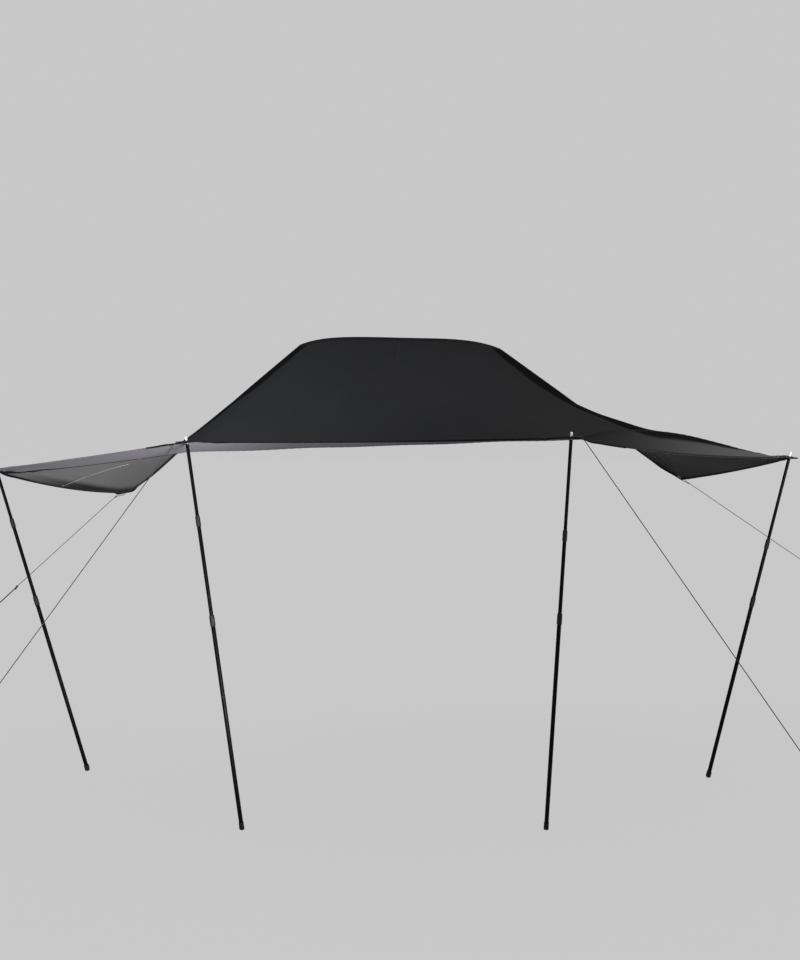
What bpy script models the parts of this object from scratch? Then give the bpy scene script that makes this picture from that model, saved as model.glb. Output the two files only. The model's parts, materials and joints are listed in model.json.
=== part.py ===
# Tent awning. A six-cornered cloth canopy hangs from a tent's rail by a bead strip and stands on
# four leaning telescopic poles. Four guy lines pull it out. Metres, +Z up, +Y towards the tent,
# -Y towards the viewer, origin in the middle of the rail bead. Left is -X.

import math

import bmesh
import bpy
import numpy as np
from mathutils import Matrix, Vector

# Canopy corners: spans to the side of the middle, reaches out from the rail, heights over the ground
RAIL_HEIGHT = 2.605
RAIL_LEFT_SPAN = 0.742
RAIL_RIGHT_SPAN = 0.748
RAIL_LEFT_HEIGHT = 2.553
RAIL_RIGHT_HEIGHT = 2.522
RAIL_ARCH = 0.068
RAIL_EDGE_REACH = 0.010

FRONT_REACH = 2.150
FRONT_LEFT_SPAN = 1.000
FRONT_RIGHT_SPAN = 0.799
FRONT_LEFT_HEIGHT = 1.818
FRONT_RIGHT_HEIGHT = 1.836

SIDE_LEFT_SPAN = 2.290
SIDE_LEFT_REACH = 1.470
SIDE_LEFT_HEIGHT = 1.669
SIDE_RIGHT_SPAN = 2.166
SIDE_RIGHT_REACH = 1.560
SIDE_RIGHT_HEIGHT = 1.745

REAR_REACH = 0.210
REAR_LEFT_SPAN = 1.968
REAR_LEFT_HEIGHT = 1.475
REAR_RIGHT_SPAN = 2.014
REAR_RIGHT_HEIGHT = 1.567

# The cross seam between the front panel and the rear panels, behind the two front corners
SEAM_LEFT_SPAN = 1.165
SEAM_LEFT_REACH = 1.560
SEAM_LEFT_HEIGHT = 1.768
SEAM_RIGHT_SPAN = 0.979
SEAM_RIGHT_REACH = 1.610
SEAM_RIGHT_HEIGHT = 1.838
SEAM_END_SHARE = 0.08
SEAM_V = 0.3

# How far each edge and each field of cloth sags (+) or bellies up (-)
FRONT_SAG = (0.004, 0.008, 0.038)
SEAM_SAG = (0.011, 0.0, -0.085)
SEAM_SKEW = 0.71
REAR_LEFT_SAG = 0.042
REAR_RIGHT_SAG = 0.019
SIDE_LEFT_SAG = 0.033
SIDE_RIGHT_SAG = 0.011
LEFT_FOLD = 1.1
RIGHT_FOLD = -0.48
LEFT_BELLY = 0.017
RIGHT_BELLY = -0.082
CREASE_SPREAD = 0.10

# Cloth and tapes
CLOTH = 0.0014
HEM = 0.0024
HEM_WIDTH = 0.020
PATCH = 0.0012
PATCH_SIZE = 0.090
PATCH_HALF = 0.060
SEW_GAP = 0.0005
FIT_GAP = 0.0003
PATCH_GAP = 0.0006
BEAD_RADIUS = 0.004
BEAD_OUT = 0.010

# Eyelets
EYELET_SIDES = 16
EYELET_BORE = 0.007
EYELET_WALL = 0.001
EYELET_FLANGE = 0.014
FLANGE_THICK = 0.001
EYELET_IN = 0.036
EYELET_IN_FRONT = 0.042
EYELET_LEAN = 0.7
FLAT_RADIUS = 0.042
FLAT_FADE = 0.105

# Poles, the same four times but for how far each is drawn out
POLE_SIDES = 16
TOP_RADIUS = 0.008
MIDDLE_RADIUS = 0.009
LOWER_RADIUS = 0.010
TUBE_WALL = 0.0006
SECTION_LENGTH = 0.980
LOWER_REACH = 1.010
SPIGOT_RADIUS = 0.003
SPIGOT_RISE = 0.047
SPIGOT_ROUND = 0.0015
PLUG_LENGTH = 0.020
COLLAR_LENGTH = 0.050
COLLAR_NECK = 0.012
COLLAR_WALL = 0.0017
COLLAR_PLAY = 0.0005
COLLAR_CHAMFER = 0.0008
FLUTES = 6
FLUTE_RADIUS = 0.0014
FLUTE_DEPTH = 0.0006
SOLE = 0.010
FOOT_HEIGHT = 0.032
FLAT_FOOT_WALL = 0.0012
ROUND_FOOT_WALL = 0.0026

# Foot points on the ground (x, y), and the length of middle tube that shows
POLES = {
    "front_left": {"foot": (-0.742, -2.150), "middle_shown": 0.475, "round": False},
    "front_right": {"foot": (0.686, -2.150), "middle_shown": 0.394, "round": False},
    "side_left": {"foot": (-1.735, -1.470), "middle_shown": 0.453, "round": True},
    "side_right": {"foot": (1.676, -1.560), "middle_shown": 0.324, "round": True},
}

# Guy lines and their plate tensioners
CORD_RADIUS = 0.002
PLATE_LENGTH = 0.060
PLATE_WIDTH = 0.014
PLATE_THICK = 0.003
SLOT_APART = 0.030
SLOT_LENGTH = 0.0123
SLOT_WIDTH = 0.0052
PLATE_ANGLE = math.radians(35)
CORD_TAIL = 0.020

# Where each guy would meet the ground, and how far along it the tensioner and the end loop lie
GUYS = {
    "front_left": {"peg": (-2.230, -2.660), "tensioner": 1.390, "loop": 1.620, "over_spigot": True},
    "front_right": {"peg": (2.000, -2.700), "tensioner": 1.710, "loop": 1.940, "over_spigot": True},
    "rear_left": {"peg": (-3.620, -0.210), "tensioner": 0.996, "loop": 1.270, "over_spigot": False},
    "rear_right": {"peg": (4.325, -0.210), "tensioner": 1.080, "loop": 1.320, "over_spigot": False},
}

for old in list(bpy.data.objects):
    bpy.data.objects.remove(old, do_unlink=True)

parts = bpy.data.collections.new("tent_awning")
cutters = bpy.data.collections.new("cutters")
bpy.context.scene.collection.children.link(parts)
bpy.context.scene.collection.children.link(cutters)


def material(name, color, roughness, metallic=0.0):
    made = bpy.data.materials.new(name)
    made.use_nodes = True
    shader = made.node_tree.nodes["Principled BSDF"]
    shader.inputs["Base Color"].default_value = (*color, 1.0)
    shader.inputs["Roughness"].default_value = roughness
    shader.inputs["Metallic"].default_value = metallic
    return made


CLOTH_GREY = material("coated_canopy_cloth", (0.030, 0.030, 0.032), 0.7)
HEM_BLACK = material("hem_tape", (0.010, 0.010, 0.011), 0.8)
PATCH_BLACK = material("patch_cloth", (0.014, 0.014, 0.015), 0.75)
EYELET_METAL = material("eyelet_nickel", (0.55, 0.55, 0.54), 0.3, 1.0)
TUBE_BLACK = material("anodised_tube", (0.012, 0.012, 0.013), 0.35, 0.6)
COLLAR_BLACK = material("collar_nylon", (0.008, 0.008, 0.008), 0.5)
SPIGOT_STEEL = material("spigot_steel", (0.62, 0.62, 0.60), 0.25, 1.0)
FOOT_RUBBER = material("foot_rubber", (0.012, 0.012, 0.012), 0.85)
CORD_GREY = material("guy_cord", (0.09, 0.09, 0.09), 0.8)
PLATE_GREY = material("tensioner_alloy", (0.30, 0.30, 0.31), 0.35, 1.0)


def add_part(name, mesh, surface, collection=None):
    made = bpy.data.objects.new(name, mesh)
    (collection or parts).objects.link(made)
    if surface:
        mesh.materials.append(surface)
    return made


# The canopy surface. u runs 0 to 3 across it: left wing, middle, right wing. v runs 0 to 1 from
# the front hem back to the rear hems and the rail, with the cross seam at SEAM_V.


def corner(x, reach, height):
    return np.array([x, -reach, height - RAIL_HEIGHT])


side_left = corner(-SIDE_LEFT_SPAN, SIDE_LEFT_REACH, SIDE_LEFT_HEIGHT)
side_right = corner(SIDE_RIGHT_SPAN, SIDE_RIGHT_REACH, SIDE_RIGHT_HEIGHT)
front_left = corner(-FRONT_LEFT_SPAN, FRONT_REACH, FRONT_LEFT_HEIGHT)
front_right = corner(FRONT_RIGHT_SPAN, FRONT_REACH, FRONT_RIGHT_HEIGHT)
rear_left = corner(-REAR_LEFT_SPAN, REAR_REACH, REAR_LEFT_HEIGHT)
rear_right = corner(REAR_RIGHT_SPAN, REAR_REACH, REAR_RIGHT_HEIGHT)
rail_left = corner(-RAIL_LEFT_SPAN, RAIL_EDGE_REACH, RAIL_LEFT_HEIGHT)
rail_right = corner(RAIL_RIGHT_SPAN, RAIL_EDGE_REACH, RAIL_RIGHT_HEIGHT)
seam_left = corner(-SEAM_LEFT_SPAN, SEAM_LEFT_REACH, SEAM_LEFT_HEIGHT)
seam_right = corner(SEAM_RIGHT_SPAN, SEAM_RIGHT_REACH, SEAM_RIGHT_HEIGHT)
seam_end_left = side_left + (rear_left - side_left) * SEAM_END_SHARE
seam_end_right = side_right + (rear_right - side_right) * SEAM_END_SHARE


def hump(t):
    """0 at both ends, 1 in the middle."""
    return 4 * t * (1 - t)


def late_hump(t):
    """0 at both ends, 1 at five sixths of the way."""
    return 14.93 * t**5 * (1 - t)


def early_hump(t):
    """0 at both ends, 1 at a third of the way."""
    return 6.75 * t * (1 - t) ** 2


def thirds(u, points, drops):
    """A line through four points, each third of it lowered by its own drop."""
    t = [np.clip(u, 0, 1), np.clip(u - 1, 0, 1), np.clip(u - 2, 0, 1)]
    line = points[0] + sum((b - a) * s[..., None] for a, b, s in zip(points, points[1:], t))
    line[..., 2] -= sum(drop(s) for drop, s in zip(drops, t))
    return line


def front_line(u):
    drops = [lambda t, sag=sag: sag * hump(t) for sag in FRONT_SAG]
    return thirds(u, [side_left, front_left, front_right, side_right], drops)


def seam_line(u):
    def right_drop(t):
        return SEAM_SAG[2] * (SEAM_SKEW * early_hump(t) + (1 - SEAM_SKEW) * hump(t))

    drops = [lambda t: SEAM_SAG[0] * hump(t), lambda t: SEAM_SAG[1] * hump(t), right_drop]
    return thirds(u, [seam_end_left, seam_left, seam_right, seam_end_right], drops)


def rear_line(u):
    drops = [
        lambda t: REAR_LEFT_SAG * late_hump(1 - t),
        lambda t: -RAIL_ARCH * (1 - np.abs(2 * t - 1) ** 4.5),
        lambda t: REAR_RIGHT_SAG * late_hump(t),
    ]
    return thirds(u, [rear_left, rail_left, rail_right, rear_right], drops)


def wing_fold(out, share, depth):
    """How far a wing leaves the plain ruled surface: 0 on its four edges, folded on the diagonal."""
    spread = 0.0625 * hump(out) * hump(depth)
    return share * (0.5 * (out + depth - np.sqrt((out - depth) ** 2 + spread)) - out * depth)


def ruled_canopy(u, v):
    front, seam, rear = front_line(u), seam_line(u), rear_line(u)
    near = np.clip(v / SEAM_V, 0, 1)[..., None]
    far = np.clip((v - SEAM_V) / (1 - SEAM_V), 0, 1)
    front_strip = front + (seam - front) * near
    rear_field = seam + (rear - seam) * far[..., None]
    cloth = np.where((v <= SEAM_V)[..., None], front_strip, rear_field)
    left_out, right_out = np.clip(1 - u, 0, 1), np.clip(u - 2, 0, 1)
    left_twist = seam_left - seam_end_left + rear_left - rail_left
    right_twist = seam_right - seam_end_right + rear_right - rail_right
    cloth = cloth + wing_fold(left_out, LEFT_FOLD, far)[..., None] * left_twist
    cloth = cloth + wing_fold(right_out, RIGHT_FOLD, far)[..., None] * right_twist
    along = SEAM_END_SHARE * near[..., 0] + (1 - SEAM_END_SHARE) * far
    sag = SIDE_LEFT_SAG * left_out**2 + SIDE_RIGHT_SAG * right_out**2
    cloth[..., 2] -= sag * hump(along) * near[..., 0]
    cloth[..., 2] += (LEFT_BELLY * hump(left_out) + RIGHT_BELLY * hump(right_out)) * hump(far)
    return cloth


def soft_canopy(u, v):
    """The ruled canopy with its creases behind the front corners rounded off."""
    far = np.clip((v - SEAM_V) / (1 - SEAM_V), 0, 1)
    window = np.exp(-(((u - 1) / 0.18) ** 2)) + np.exp(-(((u - 2) / 0.18) ** 2))
    step = CREASE_SPREAD * hump(far) * window
    sides = ruled_canopy(u - step, v) + ruled_canopy(u + step, v)
    return 0.5 * ruled_canopy(u, v) + 0.25 * sides


def section_size(u, v, inward_u):
    """Metres of cloth to one unit of u."""
    start = math.ceil(u) - 1 if inward_u < 0 else math.floor(u)
    start = min(max(start, 0), 2)
    ends = ruled_canopy(np.array([start, start + 1.0]), np.array([v, v]))
    return float(np.linalg.norm(ends[1] - ends[0]))


def strip_size(u, v, inward_v):
    """Metres of cloth to one unit of v."""
    in_front = v < SEAM_V or (v == SEAM_V and inward_v < 0)
    low, high = (0.0, SEAM_V) if in_front else (SEAM_V, 1.0)
    ends = ruled_canopy(np.array([u, u]), np.array([low, high]))
    return float(np.linalg.norm(ends[1] - ends[0])) / (high - low)


def knot_params(across, back):
    """u and v of a grid. Each knot is a plain value and a distance in metres away from it."""
    u = np.empty((len(across), len(back)))
    v = np.empty((len(across), len(back)))
    for i, (u0, du) in enumerate(across):
        for j, (v0, dv) in enumerate(back):
            u[i, j] = u0 + (du / section_size(u0, v0, du) if du else 0)
            v[i, j] = v0 + (dv / strip_size(u0, v0, dv) if dv else 0)
    return u, v


EYELETS = {
    "side_left": {"u": (0, EYELET_IN), "v": (0, EYELET_IN), "pole": "side_left"},
    "front_left": {"u": (1, 0.0), "v": (0, EYELET_IN_FRONT), "pole": "front_left"},
    "front_right": {"u": (2, 0.0), "v": (0, EYELET_IN_FRONT), "pole": "front_right"},
    "side_right": {"u": (3, -EYELET_IN), "v": (0, EYELET_IN), "pole": "side_right"},
    "rear_left": {"u": (0, EYELET_IN), "v": (1, -EYELET_IN), "pole": None},
    "rear_right": {"u": (3, -EYELET_IN), "v": (1, -EYELET_IN), "pole": None},
}


def unit(vector):
    return vector / np.linalg.norm(vector)


def surface_normal(surface, u, v, step=0.012):
    """The upward normal, from the points a step away on each side."""
    low_u, high_u = np.clip(u - step, 0, 3), np.clip(u + step, 0, 3)
    low_v, high_v = np.clip(v - step, 0, 1), np.clip(v + step, 0, 1)
    across = surface(high_u, v) - surface(low_u, v)
    back = surface(u, high_v) - surface(u, low_v)
    normal = np.cross(across, back)
    return normal / np.linalg.norm(normal, axis=-1, keepdims=True)


# Each corner is drawn flat round its eyelet, leaning part of the way to its pole
for eyelet in EYELETS.values():
    u, v = knot_params([eyelet["u"]], [eyelet["v"]])
    eyelet["centre"] = soft_canopy(u, v)[0, 0]
    normal = surface_normal(soft_canopy, u, v)[0, 0]
    if eyelet["pole"]:
        foot_x, foot_y = POLES[eyelet["pole"]]["foot"]
        up_pole = unit(eyelet["centre"] - np.array([foot_x, foot_y, -RAIL_HEIGHT]))
        normal = unit(normal * (1 - EYELET_LEAN) + up_pole * EYELET_LEAN)
    eyelet["normal"] = normal


def canopy(u, v):
    cloth = soft_canopy(u, v)
    for eyelet in EYELETS.values():
        away = cloth - eyelet["centre"]
        height = away @ eyelet["normal"]
        distance = np.linalg.norm(away, axis=-1)
        fade = np.clip((distance - FLAT_RADIUS) / (FLAT_FADE - FLAT_RADIUS), 0, 1)
        share = 1 - fade * fade * (3 - 2 * fade)
        cloth = cloth - (height * share)[..., None] * eyelet["normal"]
    return cloth


# Knots shared by every cloth piece, so that neighbours have their edges point for point alike
EDGE = HEM_WIDTH + SEW_GAP
EYE_FRAME = 0.057
corner_in = [(0, EDGE), (0, EYE_FRAME), (0, PATCH_SIZE)]
LEFT_KNOTS = corner_in + [(u, 0) for u in (0.15, 0.3, 0.5, 0.7, 0.85)] + [(1, -PATCH_HALF), (1, -HEM_WIDTH)]
MIDDLE_KNOTS = [(1, 0), (1, HEM_WIDTH), (1, PATCH_HALF)] + [(1 + u, 0) for u in (0.12, 0.25, 0.38, 0.5)]
MIDDLE_KNOTS += [(1 + u, 0) for u in (0.62, 0.75, 0.88)] + [(2, -PATCH_HALF), (2, -HEM_WIDTH), (2, 0)]
RIGHT_KNOTS = [(2, HEM_WIDTH), (2, PATCH_HALF)] + [(2 + u, 0) for u in (0.15, 0.3, 0.5, 0.7, 0.85)]
RIGHT_KNOTS += [(3, -inset) for _, inset in reversed(corner_in)]
ACROSS = LEFT_KNOTS + MIDDLE_KNOTS + RIGHT_KNOTS
FRONT_BACK = list(corner_in)
REAR_BACK = [(SEAM_V + (1 - SEAM_V) * far, 0) for far in (0.12, 0.25, 0.38, 0.5, 0.62, 0.75, 0.88)]
REAR_BACK += [(1, -PATCH_SIZE), (1, -EYE_FRAME), (1, -EDGE)]
MIDDLE_U = 1.5


def knot_points(across, back, lift=0.0):
    u, v = knot_params(across, back)
    points = canopy(u, v)
    if lift:
        points = points + lift * surface_normal(canopy, u, v)
    return points


def split_quads(points, quads):
    """Triangles, each quad split along the diagonal nearer to the world's +X +Y direction.

    Cloth that lies on cloth is then split alike, so that the two never cross.
    """
    a, b, c, d = (points[quads[:, i]] for i in range(4))
    first, second = c - a, d - b
    lean_first = np.abs(first[:, 0] + first[:, 1]) / np.linalg.norm(first, axis=1)
    lean_second = np.abs(second[:, 0] + second[:, 1]) / np.linalg.norm(second, axis=1)
    turned_quads = np.where((lean_first >= lean_second)[:, None], quads, np.roll(quads, -1, axis=1))
    return np.concatenate([turned_quads[:, [0, 1, 2]], turned_quads[:, [0, 2, 3]]]).tolist()


def grid_mesh(name, points):
    rows, columns = points.shape[:2]
    index = np.arange(rows * columns).reshape(rows, columns)
    quads = np.stack([index[:-1, :-1], index[1:, :-1], index[1:, 1:], index[:-1, 1:]], -1).reshape(-1, 4)
    flat = points.reshape(-1, 3)
    mesh = bpy.data.meshes.new(name)
    mesh.from_pydata(flat.tolist(), [], split_quads(flat, quads))
    return mesh


def solidify(target, thickness):
    shell = target.modifiers.new("thickness", "SOLIDIFY")
    shell.thickness = thickness
    shell.offset = 0.0


def cut(target, cutter):
    boolean = target.modifiers.new("cut_" + cutter.name, "BOOLEAN")
    boolean.operation = "DIFFERENCE"
    boolean.solver = "EXACT"
    boolean.object = cutter


def as_cutter(made):
    made.hide_render = True
    made.display_type = "WIRE"
    return made


def axes_frame(origin, z_axis, x_hint=(1.0, 0.0, 0.0)):
    """World matrix with its z along z_axis and its x as near x_hint as it can be."""
    z = Vector(z_axis).normalized()
    hint = Vector(x_hint)
    x = (hint - z * hint.dot(z)).normalized()
    y = z.cross(x)
    matrix = Matrix((x, y, z)).transposed().to_4x4()
    matrix.translation = Vector(origin)
    return matrix


def cylinder_cutter(name, radius, length, sides, matrix):
    mesh = bpy.data.meshes.new(name)
    form = bmesh.new()
    bmesh.ops.create_cone(form, cap_ends=True, segments=sides, radius1=radius, radius2=radius, depth=length)
    form.to_mesh(mesh)
    form.free()
    made = add_part(name, mesh, None, cutters)
    made.matrix_world = matrix
    return as_cutter(made)


def turned(name, profile, sides, surface, closed=False):
    """A solid of revolution about its own Z. The profile is (radius, z), outer side downwards."""
    count = len(profile)
    edges = [(i, i + 1) for i in range(count - 1)]
    if closed:
        edges.append((count - 1, 0))
    mesh = bpy.data.meshes.new(name)
    mesh.from_pydata([(r, 0.0, z) for r, z in profile], edges, [])
    made = add_part(name, mesh, surface)
    screw = made.modifiers.new("turn", "SCREW")
    screw.angle = math.radians(360)
    screw.steps = sides
    screw.render_steps = sides
    screw.use_merge_vertices = True
    screw.merge_threshold = 0.00001
    screw.use_smooth_shade = True
    return made


# Panels
left_middle = [knot for knot in MIDDLE_KNOTS if knot[0] < MIDDLE_U]
right_middle = [knot for knot in MIDDLE_KNOTS if knot[0] > MIDDLE_U]
left_across = LEFT_KNOTS + left_middle + [(MIDDLE_U, -SEW_GAP / 2)]
right_across = [(MIDDLE_U, SEW_GAP / 2)] + right_middle + RIGHT_KNOTS
rear_back = [(SEAM_V, SEW_GAP / 2)] + REAR_BACK

panels = {
    "front_panel": knot_points(ACROSS, FRONT_BACK + [(SEAM_V, -SEW_GAP / 2)]),
    "rear_panel_left": knot_points(left_across, rear_back),
    "rear_panel_right": knot_points(right_across, rear_back),
}
panel_objects = {}
for name, points in panels.items():
    panel_objects[name] = add_part(name, grid_mesh(name, points), CLOTH_GREY)
    solidify(panel_objects[name], CLOTH)


def swept_mesh(name, rings):
    """A closed solid through a row of rings of points, with a flat cap at each end."""
    count, around = rings.shape[:2]
    index = np.arange(count * around).reshape(count, around)
    following = np.roll(index, -1, axis=1)
    quads = np.stack([index[:-1], index[1:], following[1:], following[:-1]], -1).reshape(-1, 4)
    flat = rings.reshape(-1, 3)
    faces = split_quads(flat, quads)
    mesh = bpy.data.meshes.new(name)
    mesh.from_pydata(flat.tolist(), [], faces + [index[0].tolist(), index[-1].tolist()])
    form = bmesh.new()
    form.from_mesh(mesh)
    bmesh.ops.recalc_face_normals(form, faces=form.faces)
    form.to_mesh(mesh)
    form.free()
    return mesh


# Hems: a tape folded over the edge, with its folded side rounded
FOLD_IN = 0.0012
HEM_SECTION = [(FOLD_IN, 0.5), (0.0, 0.2), (0.0, -0.2), (FOLD_IN, -0.5)]
HEM_SECTION += [(HEM_WIDTH, -0.5), (HEM_WIDTH, 0.5)]


def hem_rings(across, back, inset_in_v):
    """Rings round the hem section, one for each knot along the hem."""
    rings = []
    for inset, height in HEM_SECTION:
        if inset_in_v:
            edge, sign = back
            row = knot_points(across, [(edge, sign * inset)], height * HEM)[:, 0]
        else:
            edge, sign = across
            row = knot_points([(edge, sign * inset)], back, height * HEM)[0]
        rings.append(row)
    return np.stack(rings, axis=1)


hem_ends = [(0, 0)] + ACROSS + [(3, 0)]
side_back = FRONT_BACK + [(SEAM_V, 0)] + REAR_BACK + [(1, 0)]
hems = {
    "front_hem": hem_rings(hem_ends, (0, 1), True),
    "side_hem_left": hem_rings((0, 1), side_back, False),
    "side_hem_right": hem_rings((3, -1), side_back, False),
    "rear_hem_left": hem_rings(LEFT_KNOTS + [(1, -SEW_GAP / 2)], (1, -1), True),
    "rear_hem_right": hem_rings([(2, SEW_GAP / 2)] + RIGHT_KNOTS, (1, -1), True),
}
hem_objects = {name: add_part(name, swept_mesh(name, rings), HEM_BLACK) for name, rings in hems.items()}


# Rail strip: a tape with a round bead on its outer edge, in one piece
def keder_rings():
    across = [(1, SEW_GAP / 2)] + MIDDLE_KNOTS[1:-1] + [(2, -SEW_GAP / 2)]
    edge = knot_points(across, [(1, 0)])[:, 0]
    inner = knot_points(across, [(1, -HEM_WIDTH)])[:, 0]
    outward = (edge - inner) / np.linalg.norm(edge - inner, axis=1, keepdims=True)
    u, v = knot_params(across, [(1, 0)])
    normal = surface_normal(canopy, u, v)[:, 0]
    meet = math.asin(HEM / 2 / BEAD_RADIUS)
    section = [(-HEM_WIDTH, -HEM / 2), (-HEM_WIDTH, HEM / 2)]
    for angle in np.linspace(math.pi - meet, meet - math.pi, 9):
        section.append((BEAD_OUT + BEAD_RADIUS * math.cos(angle), BEAD_RADIUS * math.sin(angle)))
    return np.stack([edge + out * outward + height * normal for out, height in section], axis=1)


keder = add_part("rail_bead_strip", swept_mesh("rail_bead_strip", keder_rings()), HEM_BLACK)


# Corner patches and eyelets
def patch_knots(edge, half=False):
    """Knots of a patch along one direction, next to an edge, or to both sides of a corner."""
    if half:
        return [(edge, -PATCH_HALF), (edge, -HEM_WIDTH), (edge, 0), (edge, HEM_WIDTH), (edge, PATCH_HALF)]
    inward = -1 if edge in (1, 3) else 1
    knots = [(edge, inward * inset) for inset in (FOLD_IN, EDGE, EYE_FRAME, PATCH_SIZE)]
    return knots[::inward]


PATCHES = {
    "side_left": (patch_knots(0), patch_knots(0)),
    "front_left": (patch_knots(1, half=True), patch_knots(0)),
    "front_right": (patch_knots(2, half=True), patch_knots(0)),
    "side_right": (patch_knots(3), patch_knots(0)),
    "rear_left": (patch_knots(0), patch_knots(1)),
    "rear_right": (patch_knots(3), patch_knots(1)),
}
PATCH_LIFT = HEM / 2 + PATCH_GAP + PATCH / 2
FLANGE_TOP = PATCH_LIFT + PATCH / 2 + FIT_GAP + FLANGE_THICK
FLANGE_BOTTOM = -(HEM / 2 + FIT_GAP + FLANGE_THICK)
eyelet_cuts = {
    "side_left": ["front_panel"],
    "front_left": ["front_panel"],
    "front_right": ["front_panel"],
    "side_right": ["front_panel"],
    "rear_left": ["rear_panel_left"],
    "rear_right": ["rear_panel_right"],
}

for name, eyelet in EYELETS.items():
    across, back = PATCHES[name]
    patch_grid = knot_points(across, back, PATCH_LIFT)
    patch = add_part("patch_" + name, grid_mesh("patch_" + name, patch_grid), PATCH_BLACK)
    solidify(patch, PATCH)
    place = axes_frame(eyelet["centre"], eyelet["normal"])
    barrel = EYELET_BORE + EYELET_WALL
    cutter = cylinder_cutter("eyelet_hole_" + name, barrel + FIT_GAP, 0.03, EYELET_SIDES, place)
    cut(patch, cutter)
    for panel in eyelet_cuts[name]:
        cut(panel_objects[panel], cutter)
    ring = turned(
        "eyelet_" + name,
        [
            (EYELET_BORE, FLANGE_TOP),
            (EYELET_FLANGE, FLANGE_TOP - FLANGE_THICK * 0.4),
            (EYELET_FLANGE, FLANGE_TOP - FLANGE_THICK),
            (barrel, FLANGE_TOP - FLANGE_THICK),
            (barrel, FLANGE_BOTTOM + FLANGE_THICK),
            (EYELET_FLANGE, FLANGE_BOTTOM + FLANGE_THICK),
            (EYELET_FLANGE, FLANGE_BOTTOM + FLANGE_THICK * 0.4),
            (EYELET_BORE, FLANGE_BOTTOM),
        ],
        EYELET_SIDES,
        EYELET_METAL,
        closed=True,
    )
    ring.matrix_world = place


# Poles. A pole's dome seats in the lower rim of its eyelet, and the pole swings about the middle
# of that dome.
DOME_DROP = math.sqrt(
    (TOP_RADIUS + FIT_GAP) ** 2 - (EYELET_BORE * math.cos(math.pi / EYELET_SIDES)) ** 2
)


def tube(name, radius, top, bottom):
    inner = radius - TUBE_WALL
    profile = [(radius, top), (radius, bottom), (inner, bottom), (inner, top)]
    return turned(name, profile, POLE_SIDES, TUBE_BLACK, True)


def tip(name):
    """Steel spigot, ball dome and the plug that holds it in the top tube."""
    plug = TOP_RADIUS - TUBE_WALL - FIT_GAP
    dome_start = math.sqrt(TOP_RADIUS**2 - SPIGOT_RADIUS**2)
    profile = [(0.0, SPIGOT_RISE), (SPIGOT_RADIUS - SPIGOT_ROUND, SPIGOT_RISE)]
    profile += [(SPIGOT_RADIUS, SPIGOT_RISE - SPIGOT_ROUND), (SPIGOT_RADIUS, dome_start)]
    first = math.asin(dome_start / TOP_RADIUS)
    last = math.asin(FIT_GAP / TOP_RADIUS)
    for angle in np.linspace(first, last, 5)[1:]:
        profile.append((TOP_RADIUS * math.cos(angle), TOP_RADIUS * math.sin(angle)))
    profile += [(plug, FIT_GAP), (plug, -PLUG_LENGTH), (0.0, -PLUG_LENGTH)]
    return turned(name, profile, POLE_SIDES, SPIGOT_STEEL)


def collar(name, inner_radius, outer_radius):
    """Twist-lock collar: its neck closes on the inner tube and its sleeve turns on the outer one."""
    neck_bore = inner_radius + COLLAR_PLAY
    sleeve_bore = outer_radius + COLLAR_PLAY
    outside = sleeve_bore + COLLAR_WALL
    neck = neck_bore + COLLAR_WALL
    profile = [
        (neck, 0.0),
        (outside - COLLAR_CHAMFER, -COLLAR_NECK / 2),
        (outside, -COLLAR_NECK),
        (outside, -COLLAR_LENGTH + COLLAR_CHAMFER),
        (outside - COLLAR_CHAMFER, -COLLAR_LENGTH),
        (sleeve_bore, -COLLAR_LENGTH),
        (sleeve_bore, -COLLAR_NECK),
        (neck_bore, -COLLAR_NECK),
        (neck_bore, 0.0),
    ]
    made = turned(name, profile, POLE_SIDES, COLLAR_BLACK, True)
    cut(made, flute_cutter("flutes_" + name, outside))
    return made


def flute_cutter(name, outside):
    """Six thin rods round the sleeve, which cut its grip flutes."""
    form = bmesh.new()
    length = COLLAR_LENGTH - COLLAR_NECK - 0.012
    for turn in range(FLUTES):
        angle = math.radians(360) * turn / FLUTES
        out = outside + FLUTE_RADIUS - FLUTE_DEPTH
        middle = -(COLLAR_NECK + COLLAR_LENGTH) / 2
        place = Matrix.Translation((out * math.cos(angle), out * math.sin(angle), middle))
        bmesh.ops.create_cone(
            form,
            cap_ends=True,
            segments=6,
            radius1=FLUTE_RADIUS,
            radius2=FLUTE_RADIUS,
            depth=length,
            matrix=place,
        )
    mesh = bpy.data.meshes.new(name)
    form.to_mesh(mesh)
    form.free()
    return as_cutter(add_part(name, mesh, None, cutters))


def foot(name, round_end, ground_cutter):
    """A rubber cap over the end of the lower tube. Its z is 0 where the pole meets the ground."""
    socket = LOWER_RADIUS + FIT_GAP
    outside = socket + (ROUND_FOOT_WALL if round_end else FLAT_FOOT_WALL)
    floor = SOLE - FIT_GAP
    profile = [(0.0, floor), (socket, floor), (socket, FOOT_HEIGHT), (outside - 0.0006, FOOT_HEIGHT)]
    if round_end:
        profile += [(outside, FOOT_HEIGHT - 0.012), (outside, SOLE), (outside * 0.92, SOLE * 0.4)]
        profile += [(outside * 0.7, -SOLE * 0.1), (outside * 0.4, -SOLE * 0.32), (0.0, -SOLE * 0.4)]
    else:
        profile += [(outside, FOOT_HEIGHT - 0.003), (outside, -SOLE * 0.4), (0.0, -SOLE * 0.4)]
    made = turned(name, profile, POLE_SIDES, FOOT_RUBBER)
    cut(made, ground_cutter)
    return made


bpy.ops.mesh.primitive_cube_add(size=1.0, location=(0, 0, -RAIL_HEIGHT - 0.05))
ground = bpy.context.object
ground.name = "ground_plane"
ground.scale = (6.0, 6.0, 0.1)
for collection in list(ground.users_collection):
    collection.objects.unlink(ground)
cutters.objects.link(ground)
as_cutter(ground)


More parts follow.
